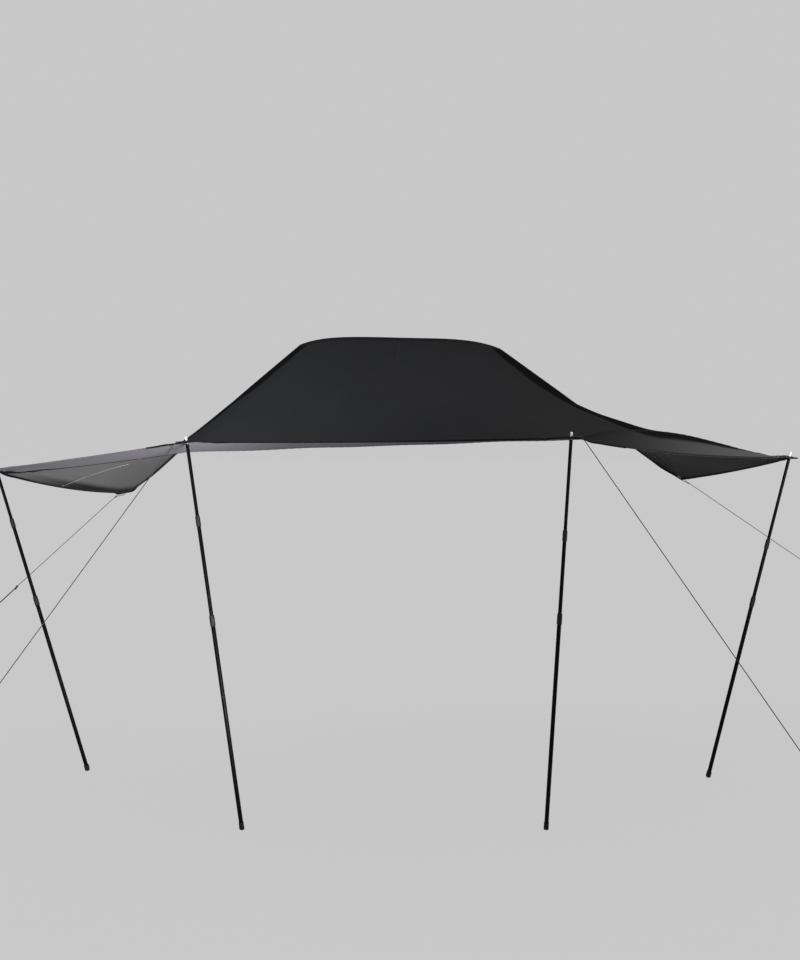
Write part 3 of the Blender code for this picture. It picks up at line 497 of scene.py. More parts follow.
# Oxford weave of polyester with a polyurethane coat. The threads lie 0.6 mm apart and are drawn
# 2.4 mm apart so that they show. Noise gives the coat its cloudy tone, thin lines the packing creases.
# Each painted tone, a painted shade or a painted light, turns the cloth to its tone past a line drawn in u and v, or by
# smooth steps along either.
def wovenCloth(name, tone, cloudTone, roughness, gloss, weave, crease, paintedTones=()):
    made, tree, shader = newMaterial(name, {"Roughness": roughness, "Specular IOR Level": gloss})
    place = addNode(tree, "ShaderNodeUVMap", {"uv_map": "metres"})
    clouds = addNode(tree, "ShaderNodeTexNoise", inputs={"Vector": place.outputs[0], "Scale": 2.6, "Detail": 5.0, "Roughness": 0.62})
    clouded = addNode(tree, "ShaderNodeMix", {"data_type": "RGBA"}, {0: clouds.outputs["Fac"], 6: fromHex(tone), 7: fromHex(cloudTone)})
    split = addNode(tree, "ShaderNodeSeparateXYZ", inputs={0: place.outputs[0]})
    threads = []
    folds = []
    for axis in (0, 1):
        turn = addNode(tree, "ShaderNodeMath", {"operation": "MULTIPLY"}, {0: split.outputs[axis], 1: 2 * math.pi / (2.4 * mm)})
        threads.append(addNode(tree, "ShaderNodeMath", {"operation": "SINE"}, {0: turn.outputs[0]}))
        away = addNode(tree, "ShaderNodeMath", {"operation": "PINGPONG"}, {0: split.outputs[axis], 1: 0.225})
        near = addNode(tree, "ShaderNodeMapRange", inputs={0: away.outputs[0], 1: 0.0, 2: 0.004, 3: 1.0, 4: 0.0})
        folds.append(near)
    both = addNode(tree, "ShaderNodeMath", {"operation": "MULTIPLY"}, {0: threads[0].outputs[0], 1: threads[1].outputs[0]})
    lines = addNode(tree, "ShaderNodeMath", {"operation": "MAXIMUM"}, {0: folds[0].outputs[0], 1: folds[1].outputs[0]})
    worn = addNode(tree, "ShaderNodeMath", {"operation": "MULTIPLY"}, {0: lines.outputs[0], 1: clouds.outputs["Fac"]})
    share = addNode(tree, "ShaderNodeMath", {"operation": "MULTIPLY"}, {0: worn.outputs[0], 1: crease})
    lighter = fromHex(cloudTone)
    creased = addNode(
        tree, "ShaderNodeMix", {"data_type": "RGBA"},
        {0: share.outputs[0], 6: clouded.outputs[2], 7: tuple(min(1.0, part * 2.2) for part in lighter[:3]) + (1.0,)},
    )
    colour = creased.outputs[2]
    if paintedTones:
        where = addNode(tree, "ShaderNodeUVMap", {"uv_map": "canopyShare"})
        along = addNode(tree, "ShaderNodeSeparateXYZ", inputs={0: where.outputs[0]})
    # painted shade and painted light: each entry mixes its tone into the colour over its mask
    for paintedTone in paintedTones:
        share = 1.0
        for axis, start, end in paintedTone["steps"]:
            step = addNode(tree, "ShaderNodeMapRange", {"interpolation_type": "SMOOTHSTEP"}, {0: along.outputs[axis], 1: start, 2: end, 3: 0.0, 4: 1.0})
            share = addNode(tree, "ShaderNodeMath", {"operation": "MULTIPLY"}, {0: share, 1: step.outputs[0]}).outputs[0]
        if "line" in paintedTone:
            edge = curveNode(tree, along.outputs[0], paintedTone["line"])
            past = addNode(tree, "ShaderNodeMath", {"operation": "SUBTRACT"}, {0: along.outputs[1], 1: edge.outputs[0]})
            step = addNode(tree, "ShaderNodeMapRange", {"interpolation_type": "SMOOTHSTEP"}, {0: past.outputs[0], 1: -paintedTone["soft"], 2: paintedTone["soft"], 3: 0.0, 4: 1.0})
            share = addNode(tree, "ShaderNodeMath", {"operation": "MULTIPLY"}, {0: share, 1: step.outputs[0]}).outputs[0]
        colour = addNode(tree, "ShaderNodeMix", {"data_type": "RGBA"}, {0: share, 6: colour, 7: fromHex(paintedTone["tone"])}).outputs[2]
    tree.links.new(colour, shader.inputs["Base Color"])
    bump = addNode(tree, "ShaderNodeBump", inputs={"Height": both.outputs[0], "Strength": weave, "Distance": 0.25 * mm})
    ridge = addNode(tree, "ShaderNodeBump", inputs={"Height": lines.outputs[0], "Strength": 0.35 * crease, "Distance": 0.6 * mm, "Normal": bump.outputs[0]})
    tree.links.new(ridge.outputs[0], shader.inputs["Normal"])
    return made


# Woven webbing: ribs across the tape 1.5 mm apart, drawn 3 mm apart
def wovenTape(name, tone, wornTone, roughness):
    made, tree, shader = newMaterial(name, {"Roughness": roughness, "Specular IOR Level": 0.1})
    place = addNode(tree, "ShaderNodeUVMap", {"uv_map": "metres"})
    split = addNode(tree, "ShaderNodeSeparateXYZ", inputs={0: place.outputs[0]})
    turn = addNode(tree, "ShaderNodeMath", {"operation": "MULTIPLY"}, {0: split.outputs[0], 1: 2 * math.pi / (3 * mm)})
    ribs = addNode(tree, "ShaderNodeMath", {"operation": "SINE"}, {0: turn.outputs[0]})
    fluff = addNode(tree, "ShaderNodeTexNoise", inputs={"Vector": place.outputs[0], "Scale": 22.0, "Detail": 4.0})
    wear = addNode(tree, "ShaderNodeMapRange", inputs={0: fluff.outputs["Fac"], 1: 0.35, 2: 0.75, 3: 0.0, 4: 1.0})
    colour = addNode(tree, "ShaderNodeMix", {"data_type": "RGBA"}, {0: wear.outputs[0], 6: fromHex(tone), 7: fromHex(wornTone)})
    tree.links.new(colour.outputs[2], shader.inputs["Base Color"])
    bump = addNode(tree, "ShaderNodeBump", inputs={"Height": ribs.outputs[0], "Strength": 0.5, "Distance": 0.3 * mm})
    tree.links.new(bump.outputs[0], shader.inputs["Normal"])
    return made


# Drawn tube, etched and anodised: a satin skin with faint lines along the tube and dust in places
def anodised(name, tone, scuffTone, roughness, metallic=1.0):
    made, tree, shader = newMaterial(name, {"Metallic": metallic})
    place = addNode(tree, "ShaderNodeUVMap", {"uv_map": "metres"})
    stretch = addNode(tree, "ShaderNodeMapping", inputs={"Vector": place.outputs[0], "Scale": (3.0, 900.0, 1.0)})
    lines = addNode(tree, "ShaderNodeTexNoise", inputs={"Vector": stretch.outputs[0], "Scale": 1.0, "Detail": 3.0})
    dust = addNode(tree, "ShaderNodeTexNoise", inputs={"Vector": place.outputs[0], "Scale": 14.0, "Detail": 6.0, "Roughness": 0.7})
    scuffs = addNode(tree, "ShaderNodeMapRange", inputs={0: dust.outputs["Fac"], 1: 0.55, 2: 0.8, 3: 0.0, 4: 0.5})
    colour = addNode(tree, "ShaderNodeMix", {"data_type": "RGBA"}, {0: scuffs.outputs[0], 6: fromHex(tone), 7: fromHex(scuffTone)})
    tree.links.new(colour.outputs[2], shader.inputs["Base Color"])
    rough = addNode(tree, "ShaderNodeMapRange", inputs={0: lines.outputs["Fac"], 1: 0.3, 2: 0.7, 3: roughness - 0.06, 4: roughness + 0.1})
    tree.links.new(rough.outputs[0], shader.inputs["Roughness"])
    bump = addNode(tree, "ShaderNodeBump", inputs={"Height": lines.outputs["Fac"], "Strength": 0.12, "Distance": 0.05 * mm})
    tree.links.new(bump.outputs[0], shader.inputs["Normal"])
    return made


# Moulded plastic or rubber: fine spark grain from the mould and a little grey dust
def moulded(name, tone, dustTone, roughness, grain, dust):
    made, tree, shader = newMaterial(name, {"Roughness": roughness, "Specular IOR Level": 0.25})
    place = addNode(tree, "ShaderNodeTexCoord")
    speck = addNode(tree, "ShaderNodeTexNoise", inputs={"Vector": place.outputs["Object"], "Scale": 1400.0, "Detail": 2.0})
    cloud = addNode(tree, "ShaderNodeTexNoise", inputs={"Vector": place.outputs["Object"], "Scale": 60.0, "Detail": 5.0, "Roughness": 0.65})
    share = addNode(tree, "ShaderNodeMapRange", inputs={0: cloud.outputs["Fac"], 1: 0.42, 2: 0.75, 3: 0.0, 4: dust})
    colour = addNode(tree, "ShaderNodeMix", {"data_type": "RGBA"}, {0: share.outputs[0], 6: fromHex(tone), 7: fromHex(dustTone)})
    tree.links.new(colour.outputs[2], shader.inputs["Base Color"])
    bump = addNode(tree, "ShaderNodeBump", inputs={"Height": speck.outputs["Fac"], "Strength": grain, "Distance": 0.08 * mm})
    tree.links.new(bump.outputs[0], shader.inputs["Normal"])
    return made


# Plated metal: smooth and bright, with a soft haze of handling marks
def plated(name, tone, roughness):
    made, tree, shader = newMaterial(name, {"Metallic": 1.0, "Base Color": fromHex(tone)})
    place = addNode(tree, "ShaderNodeTexCoord")
    haze = addNode(tree, "ShaderNodeTexNoise", inputs={"Vector": place.outputs["Object"], "Scale": 180.0, "Detail": 4.0})
    rough = addNode(tree, "ShaderNodeMapRange", inputs={0: haze.outputs["Fac"], 1: 0.3, 2: 0.7, 3: roughness, 4: roughness + 0.18})
    tree.links.new(rough.outputs[0], shader.inputs["Roughness"])
    return made


# Braided cover: two sets of yarns that cross, 16 round the cord, with a pitch of 12 mm, drawn
# with 8 round it so that they show. A few paler tracer yarns.
def braided(name, tone, tracerTone):
    made, tree, shader = newMaterial(name, {"Roughness": 0.75, "Specular IOR Level": 0.3, "Sheen Weight": 0.15})
    place = addNode(tree, "ShaderNodeUVMap", {"uv_map": "metres"})
    split = addNode(tree, "ShaderNodeSeparateXYZ", inputs={0: place.outputs[0]})
    run = addNode(tree, "ShaderNodeMath", {"operation": "MULTIPLY"}, {0: split.outputs[0], 1: 2 * math.pi * 4 / (12 * mm)})
    waves = []
    for way in (-1, 1):
        round_ = addNode(tree, "ShaderNodeMath", {"operation": "MULTIPLY"}, {0: split.outputs[1], 1: way * 2 * math.pi * 4})
        total = addNode(tree, "ShaderNodeMath", {"operation": "ADD"}, {0: run.outputs[0], 1: round_.outputs[0]})
        waves.append(addNode(tree, "ShaderNodeMath", {"operation": "SINE"}, {0: total.outputs[0]}))
    yarns = addNode(tree, "ShaderNodeMath", {"operation": "MULTIPLY"}, {0: waves[0].outputs[0], 1: waves[1].outputs[0]})
    tracer = addNode(tree, "ShaderNodeMapRange", inputs={0: yarns.outputs[0], 1: 0.55, 2: 0.95, 3: 0.0, 4: 0.55})
    colour = addNode(tree, "ShaderNodeMix", {"data_type": "RGBA"}, {0: tracer.outputs[0], 6: fromHex(tone), 7: fromHex(tracerTone)})
    tree.links.new(colour.outputs[2], shader.inputs["Base Color"])
    bump = addNode(tree, "ShaderNodeBump", inputs={"Height": yarns.outputs[0], "Strength": 0.6, "Distance": 0.3 * mm})
    tree.links.new(bump.outputs[0], shader.inputs["Normal"])
    return made


# Painted shade: the cloth that falls away behind the ridges of the front corners is painted darker. Painted light: the
# right wing's front strip is painted paler.
topPaintedShadeAndLight = [
    # painted shade past the ridges, beyond a line drawn in u and v
    {
        "tone": "#111112", "soft": 0.03, "steps": [],
        "line": [
            (0.0, 0.35), (0.5, 0.5), (0.87, 0.63), (0.958, 0.69), (0.99, 0.76), (1.026, 0.871), (1.05, 1.0), (1.945, 1.0),
            (1.96, 0.913), (2.01, 0.797), (2.07, 0.68), (2.13, 0.57), (2.18, 0.46), (2.22, 0.36), (2.255, 0.28),
            (2.3, 0.225), (2.36, 0.2), (2.51, 0.205), (2.7, 0.225), (2.85, 0.25), (3.0, 0.28),
        ],
    },
    # painted light: the right wing's front strip is made paler
    {"tone": "#4c4c4a", "steps": [(0, 2.1 / 3, 3.0 / 3), (1, 0.31, 0.25)]},
]
# Painted shade: the cloth is painted darker under the left wing along its side and rear hems, and under the front panel
# past the left ridge
rearPaintedShade = [
    # painted shade along the left wing's side hem, deeper towards the rear
    {"tone": "#0b0b0b", "steps": [(0, 0.18 / 3, 0.10 / 3), (1, 0.22, 0.66)]},
    # painted shade along the left wing's rear hem
    {"tone": "#0a0a0a", "steps": [(0, 0.8 / 3, 0.7 / 3), (1, 0.905, 0.935)]},
]
# Painted shade: the front panel's under side is painted darker from the left ridge towards the right
frontPaintedShade = [{"tone": "#46444a", "steps": [(0, 0.98 / 3, 1.3 / 3)]}]
# The top cloth and the grey under coats carry the painted shade and painted light above
topCloth = wovenCloth("coatedOxfordPolyester", "#212122", "#272728", 0.75, 0.0, 0.25, 0.12, topPaintedShadeAndLight[::-1])
frontUnder = wovenCloth("greyCoatOfFrontPanel", "#6b6870", "#76737b", 0.65, 0.05, 0.12, 0.1, frontPaintedShade)
rearUnder = wovenCloth("greyCoatOfRearPanels", "#6a6a6a", "#747474", 0.65, 0.05, 0.12, 0.1, rearPaintedShade)
doubledCloth = wovenCloth("doubledOxfordPolyester", "#161617", "#1f1f20", 0.75, 0.05, 0.35, 0.0)
seamCloth = wovenCloth("felledOxfordSeam", "#1e1e1f", "#242425", 0.75, 0.03, 0.25, 0.0)
greyCloth = wovenCloth("greyCoatOfHem", "#78757d", "#838087", 0.65, 0.05, 0.12, 0.0)
hemTape = wovenTape("wovenPolyesterTape", "#0b0b0c", "#131314", 0.85)
sewingThread = wovenTape("bondedPolyesterThread", "#151516", "#222223", 0.6)
paleThread = wovenTape("palePolyesterThread", "#bcbcb8", "#d0d0ca", 0.6)
beadVinyl = moulded("extrudedVinylBead", "#d9d8d2", "#b8b6ae", 0.45, 0.2, 0.4)
tubeMetal = anodised("blackAnodisedAluminium", "#111112", "#2c2c2e", 0.48)
plateMetal = anodised("greyAnodisedAluminium", "#5c5d60", "#8a8b8e", 0.34)
collarNylon = moulded("mouldedNylon", "#0c0c0d", "#2a2a29", 0.62, 0.35, 0.12)
footRubber = moulded("mouldedRubber", "#101010", "#5a5853", 0.85, 0.5, 0.55)
spigotSteel = plated("zincPlatedSteel", "#d6d6d2", 0.22)
eyeletBrass = plated("nickelPlatedBrass", "#8a8882", 0.42)
capNylon = moulded("paleMouldedNylon", "#e4e4e0", "#b9b8b2", 0.4, 0.2, 0.2)
cordCover = braided("braidedPolyesterCord", "#1c1c1c", "#3e3e3c")
print("materials:", len(bpy.data.materials))


# Camera: 1.78 m over the ground and 5.86 m out from the rail, level, with the horizon at row 450

view = {"height": 960, "focal": 790, "horizon": 450, "sensor": 36.0, "out": 5.86, "eye": 1.78}
cameraData = bpy.data.cameras.new("camera")
cameraData.sensor_fit = "VERTICAL"
cameraData.sensor_height = view["sensor"]
cameraData.lens = view["focal"] / view["height"] * view["sensor"]
cameraData.shift_y = (view["horizon"] - view["height"] / 2) / view["height"]
camera = bpy.data.objects.new("camera", cameraData)
camera.location = (0.0, -view["out"], view["eye"] + ground)
camera.rotation_euler = (math.radians(90), 0.0, 0.0)
bpy.context.scene.collection.objects.link(camera)
bpy.context.scene.camera = camera


# Guy lines, each one cord: a loop at the canopy, the taut run, through the tensioner, round its end
# loop and back through the tensioner to a stopper knot. Points are millimetres.

cordRadius = 2 * mm
guys = {
    "front_left": {"peg": (-2.230, -2.660), "tensioner": 1.390, "loop": 1.620, "spigot": True},
    "front_right": {"peg": (2.000, -2.700), "tensioner": 1.710, "loop": 1.940, "spigot": True},
    "rear_left": {"peg": (-3.620, -0.210), "tensioner": 0.996, "loop": 1.270, "spigot": False},
    "rear_right": {"peg": (4.325, -0.210), "tensioner": 1.080, "loop": 1.320, "spigot": False},
}
cordRoute = {
    "spigotLoop": [
        (46, -4.6, 6.0), (38, -4.9, 6.8), (28, -6.0, 7.2), (15, -8.6, 7.0), (4, -9.4, 6.6), (-5, -7.9, 6.5),
        (-9.2, 0, 6.5), (-5, 7.9, 6.5), (4, 9.4, 6.6), (15, 8.0, 7.0), (28, 3.8, 7.4), (38, 1.2, 7.2), (48, 0.2, 6.4),
    ],
    "eyeletLoop": [
        (17, 0, -11.2), (10, 0, -9.8), (5.1, 0, -5.8), (4.1, 0, 0), (4.3, 0, 3.6), (6.1, 0, 7.1),
        (10.5, 0, 7.7), (17, 0, 6.5), (26, 0, 5.7), (35, 0, 5.3), (43, 0, 3.6),
    ],
    "eyeletLoopEnd": [(34, 4.6), (18, 6.5)],
    "leaveSpigot": 58 * mm,
    "leaveEyelet": 50 * mm,
    "slotApart": 30 * mm,
    "plateAngle": math.radians(35),
    "tail": 20 * mm,
}


# Catmull-Rom curve through the route's points, with steps a spacing apart where it bends
def smoothCurve(route, spacing):
    route = np.asarray(route, float)
    padded = np.concatenate([route[:1] * 2 - route[1:2], route, route[-1:] * 2 - route[-2:-1]])
    made = [route[:1]]
    for p0, p1, p2, p3 in zip(padded, padded[1:], padded[2:], padded[3:]):
        turns = ((p1 - p0, p2 - p1), (p2 - p1, p3 - p2))
        bend = sum(math.acos(min(1.0, float(unit(b) @ unit(a)))) for a, b in turns)
        steps = 1 if bend < 0.03 else max(1, math.ceil(np.linalg.norm(p2 - p1) / spacing))
        t = (np.arange(1, steps + 1) / steps)[:, None]
        square, cube = 2 * p0 - 5 * p1 + 4 * p2 - p3, 3 * p1 - p0 - 3 * p2 + p3
        made.append(0.5 * (2 * p1 + (p2 - p0) * t + square * t**2 + cube * t**3))
    return np.concatenate(made)


# Points at even arc lengths along a path
def resampled(path, spacing):
    run = np.concatenate([[0], np.cumsum(np.linalg.norm(np.diff(path, axis=0), axis=1))])
    at = np.linspace(0, run[-1], max(8, math.ceil(run[-1] / spacing)))
    return np.stack([np.interp(at, run, path[:, axis]) for axis in range(3)], 1)


# Overhand knot: a trefoil, sin t + 2 sin 2t by cos t - 2 cos 2t, stretched along the cord
def knotMesh(name, centre, along, size, stretch=1.5):
    t = 2 * np.pi * np.arange(72) / 72
    loop = np.stack([np.sin(t) + 2 * np.sin(2 * t), np.cos(t) - 2 * np.cos(2 * t), -np.sin(3 * t) * 1.1], 1)
    loop = loop * np.array([1, 1, stretch]) * size / 6
    place = placeAt(centre, along, (0.31, 0.52, 0.79))
    path = placed(loop, place)
    tangent = unit(np.roll(path, -1, 0) - np.roll(path, 1, 0))
    outward = unit(path - np.asarray(centre) - (path - np.asarray(centre)) @ place[0][:, 2][:, None] * place[0][:, 2] * 0.4)
    across = unit(outward - tangent * np.sum(outward * tangent, 1, keepdims=True))
    up = np.cross(tangent, across)
    angle = 2 * np.pi * np.arange(10) / 10
    ring = across[:, None] * np.cos(angle)[None, :, None] + up[:, None] * np.sin(angle)[None, :, None]
    points = path[:, None] + ring * cordRadius * 0.98
    run = np.cumsum(np.linalg.norm(path - np.roll(path, 1, 0), axis=1))
    uv = np.stack(np.broadcast_arrays(run[:, None], (np.arange(10) / 10)[None, :]), -1)
    return tidied(buildMesh(name, points, gridQuads(72, 10, ringRows=True, ringColumns=True), uv))


# Closed line of two half circles and two straights, about a middle on the x axis
def plateOutline(curve, middle, length, width):
    straight = (length - width) / 2
    turns = [math.radians(start + 15 * step) for start in (-90, 90) for step in range(13)]
    sides = [1] * 13 + [-1] * 13
    spline = curve.splines.new("POLY")
    spline.points.add(len(turns) - 1)
    spline.use_cyclic_u = True
    for point, turn, side in zip(spline.points, turns, sides):
        point.co = (middle + side * straight + width / 2 * math.cos(turn), width / 2 * math.sin(turn), 0.0, 1.0)


plateShape = {
    "length": 60 * mm, "width": 14 * mm, "thick": 3 * mm,
    "slotLength": 12.3 * mm, "slotWidth": 5.2 * mm, "edge": 0.5 * mm,
}


# Flat bar with round ends, two slots and rounded edges, laid at the tensioner's place
def plateMesh(name, centre, longAxis, flatAxis):
    curve = bpy.data.curves.new(name, "CURVE")
    curve.dimensions = "2D"
    curve.fill_mode = "BOTH"
    curve.extrude = plateShape["thick"] / 2 - plateShape["edge"]
    curve.bevel_depth = plateShape["edge"]
    curve.bevel_resolution = 2
    curve.offset = -plateShape["edge"]
    plateOutline(curve, 0.0, plateShape["length"], plateShape["width"])
    for side in (-1, 1):
        plateOutline(curve, side * cordRoute["slotApart"] / 2, plateShape["slotLength"], plateShape["slotWidth"])
    drawing = bpy.data.objects.new(name, curve)
    bpy.context.scene.collection.objects.link(drawing)
    bpy.context.view_layer.update()
    mesh = bpy.data.meshes.new_from_object(drawing.evaluated_get(bpy.context.evaluated_depsgraph_get()))
    bpy.data.objects.remove(drawing)
    turn, origin = placeAt(centre, flatAxis, longAxis)
    matrix = Matrix(turn.tolist()).to_4x4()
    matrix.translation = origin.tolist()
    points = np.empty(len(mesh.vertices) * 3)
    mesh.vertices.foreach_get("co", points)
    corners = np.empty(len(mesh.loops), int)
    mesh.loops.foreach_get("vertex_index", corners)
    while mesh.uv_layers:
        mesh.uv_layers.remove(mesh.uv_layers[0])
    metres = mesh.uv_layers.new(name="metres")
    metres.data.foreach_set("uv", points.reshape(-1, 3)[corners][:, :2].ravel())
    mesh.transform(matrix)
    return tidied(mesh, 40, 1e-5)


for name, guy in guys.items():
    centre, normal = eyeletAt[name]
    peg = np.array([*guy["peg"], ground])
    outward = unit((peg - centre) - normal * ((peg - centre) @ normal))
    sideways = np.cross(normal, outward)
    leave = centre + outward * cordRoute["leaveSpigot" if guy["spigot"] else "leaveEyelet"]
    along = unit(peg - leave)
    under = unit(along * (normal @ along) - normal)
    turnBack = unit(np.cross(along, (0.0, 0.0, 1.0)))
    apart = cordRoute["slotApart"] * math.sin(cordRoute["plateAngle"])
    route = []
    if not guy["spigot"]:
        route += [leave + (along * run + under * below) * mm for run, below in cordRoute["eyeletLoopEnd"]]
    for out, side, above in cordRoute["spigotLoop" if guy["spigot"] else "eyeletLoop"]:
        route.append(centre + (outward * out + sideways * side + normal * above) * mm)
    stops = [(0.012, 0), (0.042, 0), (0.072, 0), (guy["tensioner"] * 0.5, 0), (guy["tensioner"] - 0.05, 0)]
    stops += [(guy["tensioner"] + 0.05, 0), (guy["loop"] - 0.03, 0)]
    for step in range(9):
        angle = math.radians(180 * step / 8)
        stops.append((guy["loop"] + apart / 2 * math.sin(angle), 0.5 - 0.5 * math.cos(angle)))
    tailEnd = guy["tensioner"] + cordRoute["slotApart"] / 2 * math.cos(cordRoute["plateAngle"]) - cordRoute["tail"]
    stops += [(guy["loop"] - 0.03, 1), (guy["tensioner"] + 0.05, 1), (tailEnd, 1)]
    route += [leave + along * distance + turnBack * (apart * share) for distance, share in stops]
    path = smoothCurve(route, 0.004)
    cord = addPiece("guyCord_" + name, tubeMesh("guyCord_" + name, resampled(path, 0.006), cordRadius, 12), "canopy", [cordCover], ["guy_" + name])
    longAxis = along * math.cos(cordRoute["plateAngle"]) + turnBack * math.sin(cordRoute["plateAngle"])
    flatAxis = turnBack * math.cos(cordRoute["plateAngle"]) - along * math.sin(cordRoute["plateAngle"])
    plateCentre = leave + along * guy["tensioner"] + turnBack * (apart * 0.5)
    plate = addPiece("tensionerPlate_" + name, plateMesh("tensionerPlate_" + name, plateCentre, longAxis, flatAxis), "tensioner_" + name, [plateMetal], ["tensioner_" + name])
    knotPlace = leave + along * 0.020 if guy["spigot"] else leave + (along * 30 + under * 2.6) * mm
    if guy["spigot"]:
        knotPlace = centre + (outward * 46 + sideways * -2.2 + normal * 6.2) * mm
    topKnot = addPiece("loopKnot_" + name, knotMesh("loopKnot_" + name, knotPlace, along, 7.5 * mm), "canopy", [cordCover])
    endKnot = addPiece("stopperKnot_" + name, knotMesh("stopperKnot_" + name, leave + along * tailEnd + turnBack * apart, along, 6.5 * mm, 1.1), "canopy", [cordCover])


# Poles: every turned piece is a finer form of its solid, in the pole's own frame with z up the pole

poleShape = {
    "topRadius": 8 * mm,
    "middleRadius": 9 * mm,
    "lowerRadius": 10 * mm,
    "wall": 0.6 * mm,
    "section": 980 * mm,
    "lowerReach": 1010 * mm,
    "fit": 0.3 * mm,
    "sole": 10 * mm,
}
spigotShape = {"radius": 3 * mm, "rise": 34 * mm, "round": 1.5 * mm, "neck": 1.2 * mm, "plug": 20 * mm}
capShape = {"radius": 6 * mm, "bore": 3.2 * mm, "bottom": 20 * mm, "seat": 34.3 * mm, "top": 37 * mm}
collarShape = {
    "length": 50 * mm, "neck": 12 * mm, "wall": 1.7 * mm, "play": 0.5 * mm,
    "flutes": 6, "fluteDepth": 0.6 * mm, "fluteEnd": 6 * mm,
}
footShape = {"height": 32 * mm, "flatWall": 1.2 * mm, "roundWall": 2.6 * mm, "groove": 0.5 * mm}


# Closed outline with every corner rounded
def ringRounded(points, radius, steps=3):
    points = [np.asarray(point, float) for point in points]
    start = (points[0] + points[-1]) / 2
    return rounded([start, *points, start], radius, steps)[:-1]


# Outline with more points, a spacing apart at most
def lengthened(points, spacing):
    made = [np.asarray(points[0], float)]
    for a, b in zip(points, points[1:]):
        a, b = np.asarray(a, float), np.asarray(b, float)
        steps = max(1, math.ceil(np.linalg.norm(b - a) / spacing))
        made += [a + (b - a) * step / steps for step in range(1, steps + 1)]
    return made


# Wall of a tube, with eased ends
def tubeProfile(radius, top, bottom):
    inner = radius - poleShape["wall"]
    corners = [(radius, top), (radius, bottom), (inner, bottom), (inner, top)]
    return ringRounded(corners, 0.25 * mm, 2)


# Spigot, a short fillet, a ball dome and the plug that holds it in the top tube
def tipProfile():
    radius, rise, soft = spigotShape["radius"], spigotShape["rise"], spigotShape["round"]
    ball, plug = poleShape["topRadius"], poleShape["topRadius"] - poleShape["wall"] - poleShape["fit"]
    domeStart = math.sqrt(ball**2 - radius**2)
    made = [(0.0, rise)]
    made += [(radius - soft + soft * math.sin(t), rise - soft + soft * math.cos(t)) for t in np.linspace(0.15, math.pi / 2, 6)]
    made += [(radius, domeStart + spigotShape["neck"]), (radius + 0.25 * mm, domeStart + 0.4 * mm)]
    for angle in np.linspace(math.asin(domeStart / ball) - 0.08, math.asin(poleShape["fit"] / ball), 12):
        made.append((ball * math.cos(angle), ball * math.sin(angle)))
    return made + [(plug, poleShape["fit"]), (plug, -spigotShape["plug"]), (0.0, -spigotShape["plug"])]


# Push-on cap over the end of the spigot: a sleeve with a small rim and a domed end
def capProfile():
    radius, bore, bottom, top = (capShape[key] for key in ("radius", "bore", "bottom", "top"))
    corners = [(0.0, top), (radius * 0.55, top - 0.3 * mm), (radius, top - 3 * mm), (radius, bottom + 2.5 * mm)]
    corners += [(radius + 0.5 * mm, bottom + 1.5 * mm), (radius + 0.4 * mm, bottom), (bore, bottom)]
    return rounded(corners + [(bore, capShape["seat"]), (0.0, capShape["seat"])], 1.2 * mm)


# Neck on the thinner tube, sleeve with a lip, a groove and flutes on the thicker one
def collarMesh(name, thinRadius, thickRadius, place):
    neckBore, sleeveBore = thinRadius + collarShape["play"], thickRadius + collarShape["play"]
    outside, neck = sleeveBore + collarShape["wall"], neckBore + collarShape["wall"]
    top, end = -collarShape["neck"], -collarShape["length"]
    outer = [(neck, 0.0), (neck + 0.3 * mm, top * 0.25), (outside, top)]
    outer += [(outside, top - 1.5 * mm), (outside - 0.45 * mm, top - 1.8 * mm), (outside - 0.45 * mm, top - 2.6 * mm), (outside, top - 2.9 * mm)]
    outer += [(outside, end + 3.2 * mm), (outside + 0.35 * mm, end + 2.6 * mm), (outside + 0.35 * mm, end)]
    inner = [(sleeveBore, end), (sleeveBore, top), (neckBore, top), (neckBore, 0.0)]
    profile = lengthened(ringRounded(outer + inner, 0.4 * mm), 1.6 * mm)

    # each flute is a raised cosine across and fades out at both ends
    def flutes(radius, height, angle):
        across = np.clip(np.cos(collarShape["flutes"] * angle), 0, 1) ** 2
        inward = np.minimum(top - 3 * mm - height, height - end - 3 * mm) / collarShape["fluteEnd"]
        along = np.clip(inward, 0, 1)
        skin = radius > (outside + sleeveBore) / 2
        return -collarShape["fluteDepth"] * across * along * along * (3 - 2 * along) * skin

    return turnedMesh(name, profile, 72, place, ring=True, sharp=50, wobble=flutes)


# Rubber cap with two grooves round it, worn level where it stands on the ground
def footMesh(name, roundEnd, place):
    socket, sole, height, groove = poleShape["lowerRadius"] + poleShape["fit"], poleShape["sole"], footShape["height"], footShape["groove"]
    outside = socket + footShape["roundWall" if roundEnd else "flatWall"]
    floor = sole - poleShape["fit"]
    profile = [(0.0, floor), (socket, floor), (socket, height), (outside - 0.6 * mm, height), (outside, height - 2 * mm)]
    for middle in (25 * mm, 20 * mm):
        profile += [(outside, middle + 1.2 * mm), (outside - groove, middle + 0.5 * mm), (outside - groove, middle - 0.5 * mm), (outside, middle - 1.2 * mm)]
    if roundEnd:
        profile += [(outside, sole), (outside * 0.92, sole * 0.4), (outside * 0.7, -sole * 0.1), (outside * 0.4, -sole * 0.32)]
    else:
        profile += [(outside + 0.3 * mm, sole * 0.6), (outside, -sole * 0.4)]
    profile = rounded(profile + [(0.0, -sole * 0.4)], 1.0 * mm)
    mesh = turnedMesh(name, profile, 64, place, sharp=55)
    points = np.empty(len(mesh.vertices) * 3)
    mesh.vertices.foreach_get("co", points)
    points = points.reshape(-1, 3)
    points[:, 2] = np.maximum(points[:, 2], ground)
    mesh.vertices.foreach_set("co", points.ravel())
    return tidied(mesh, 55)


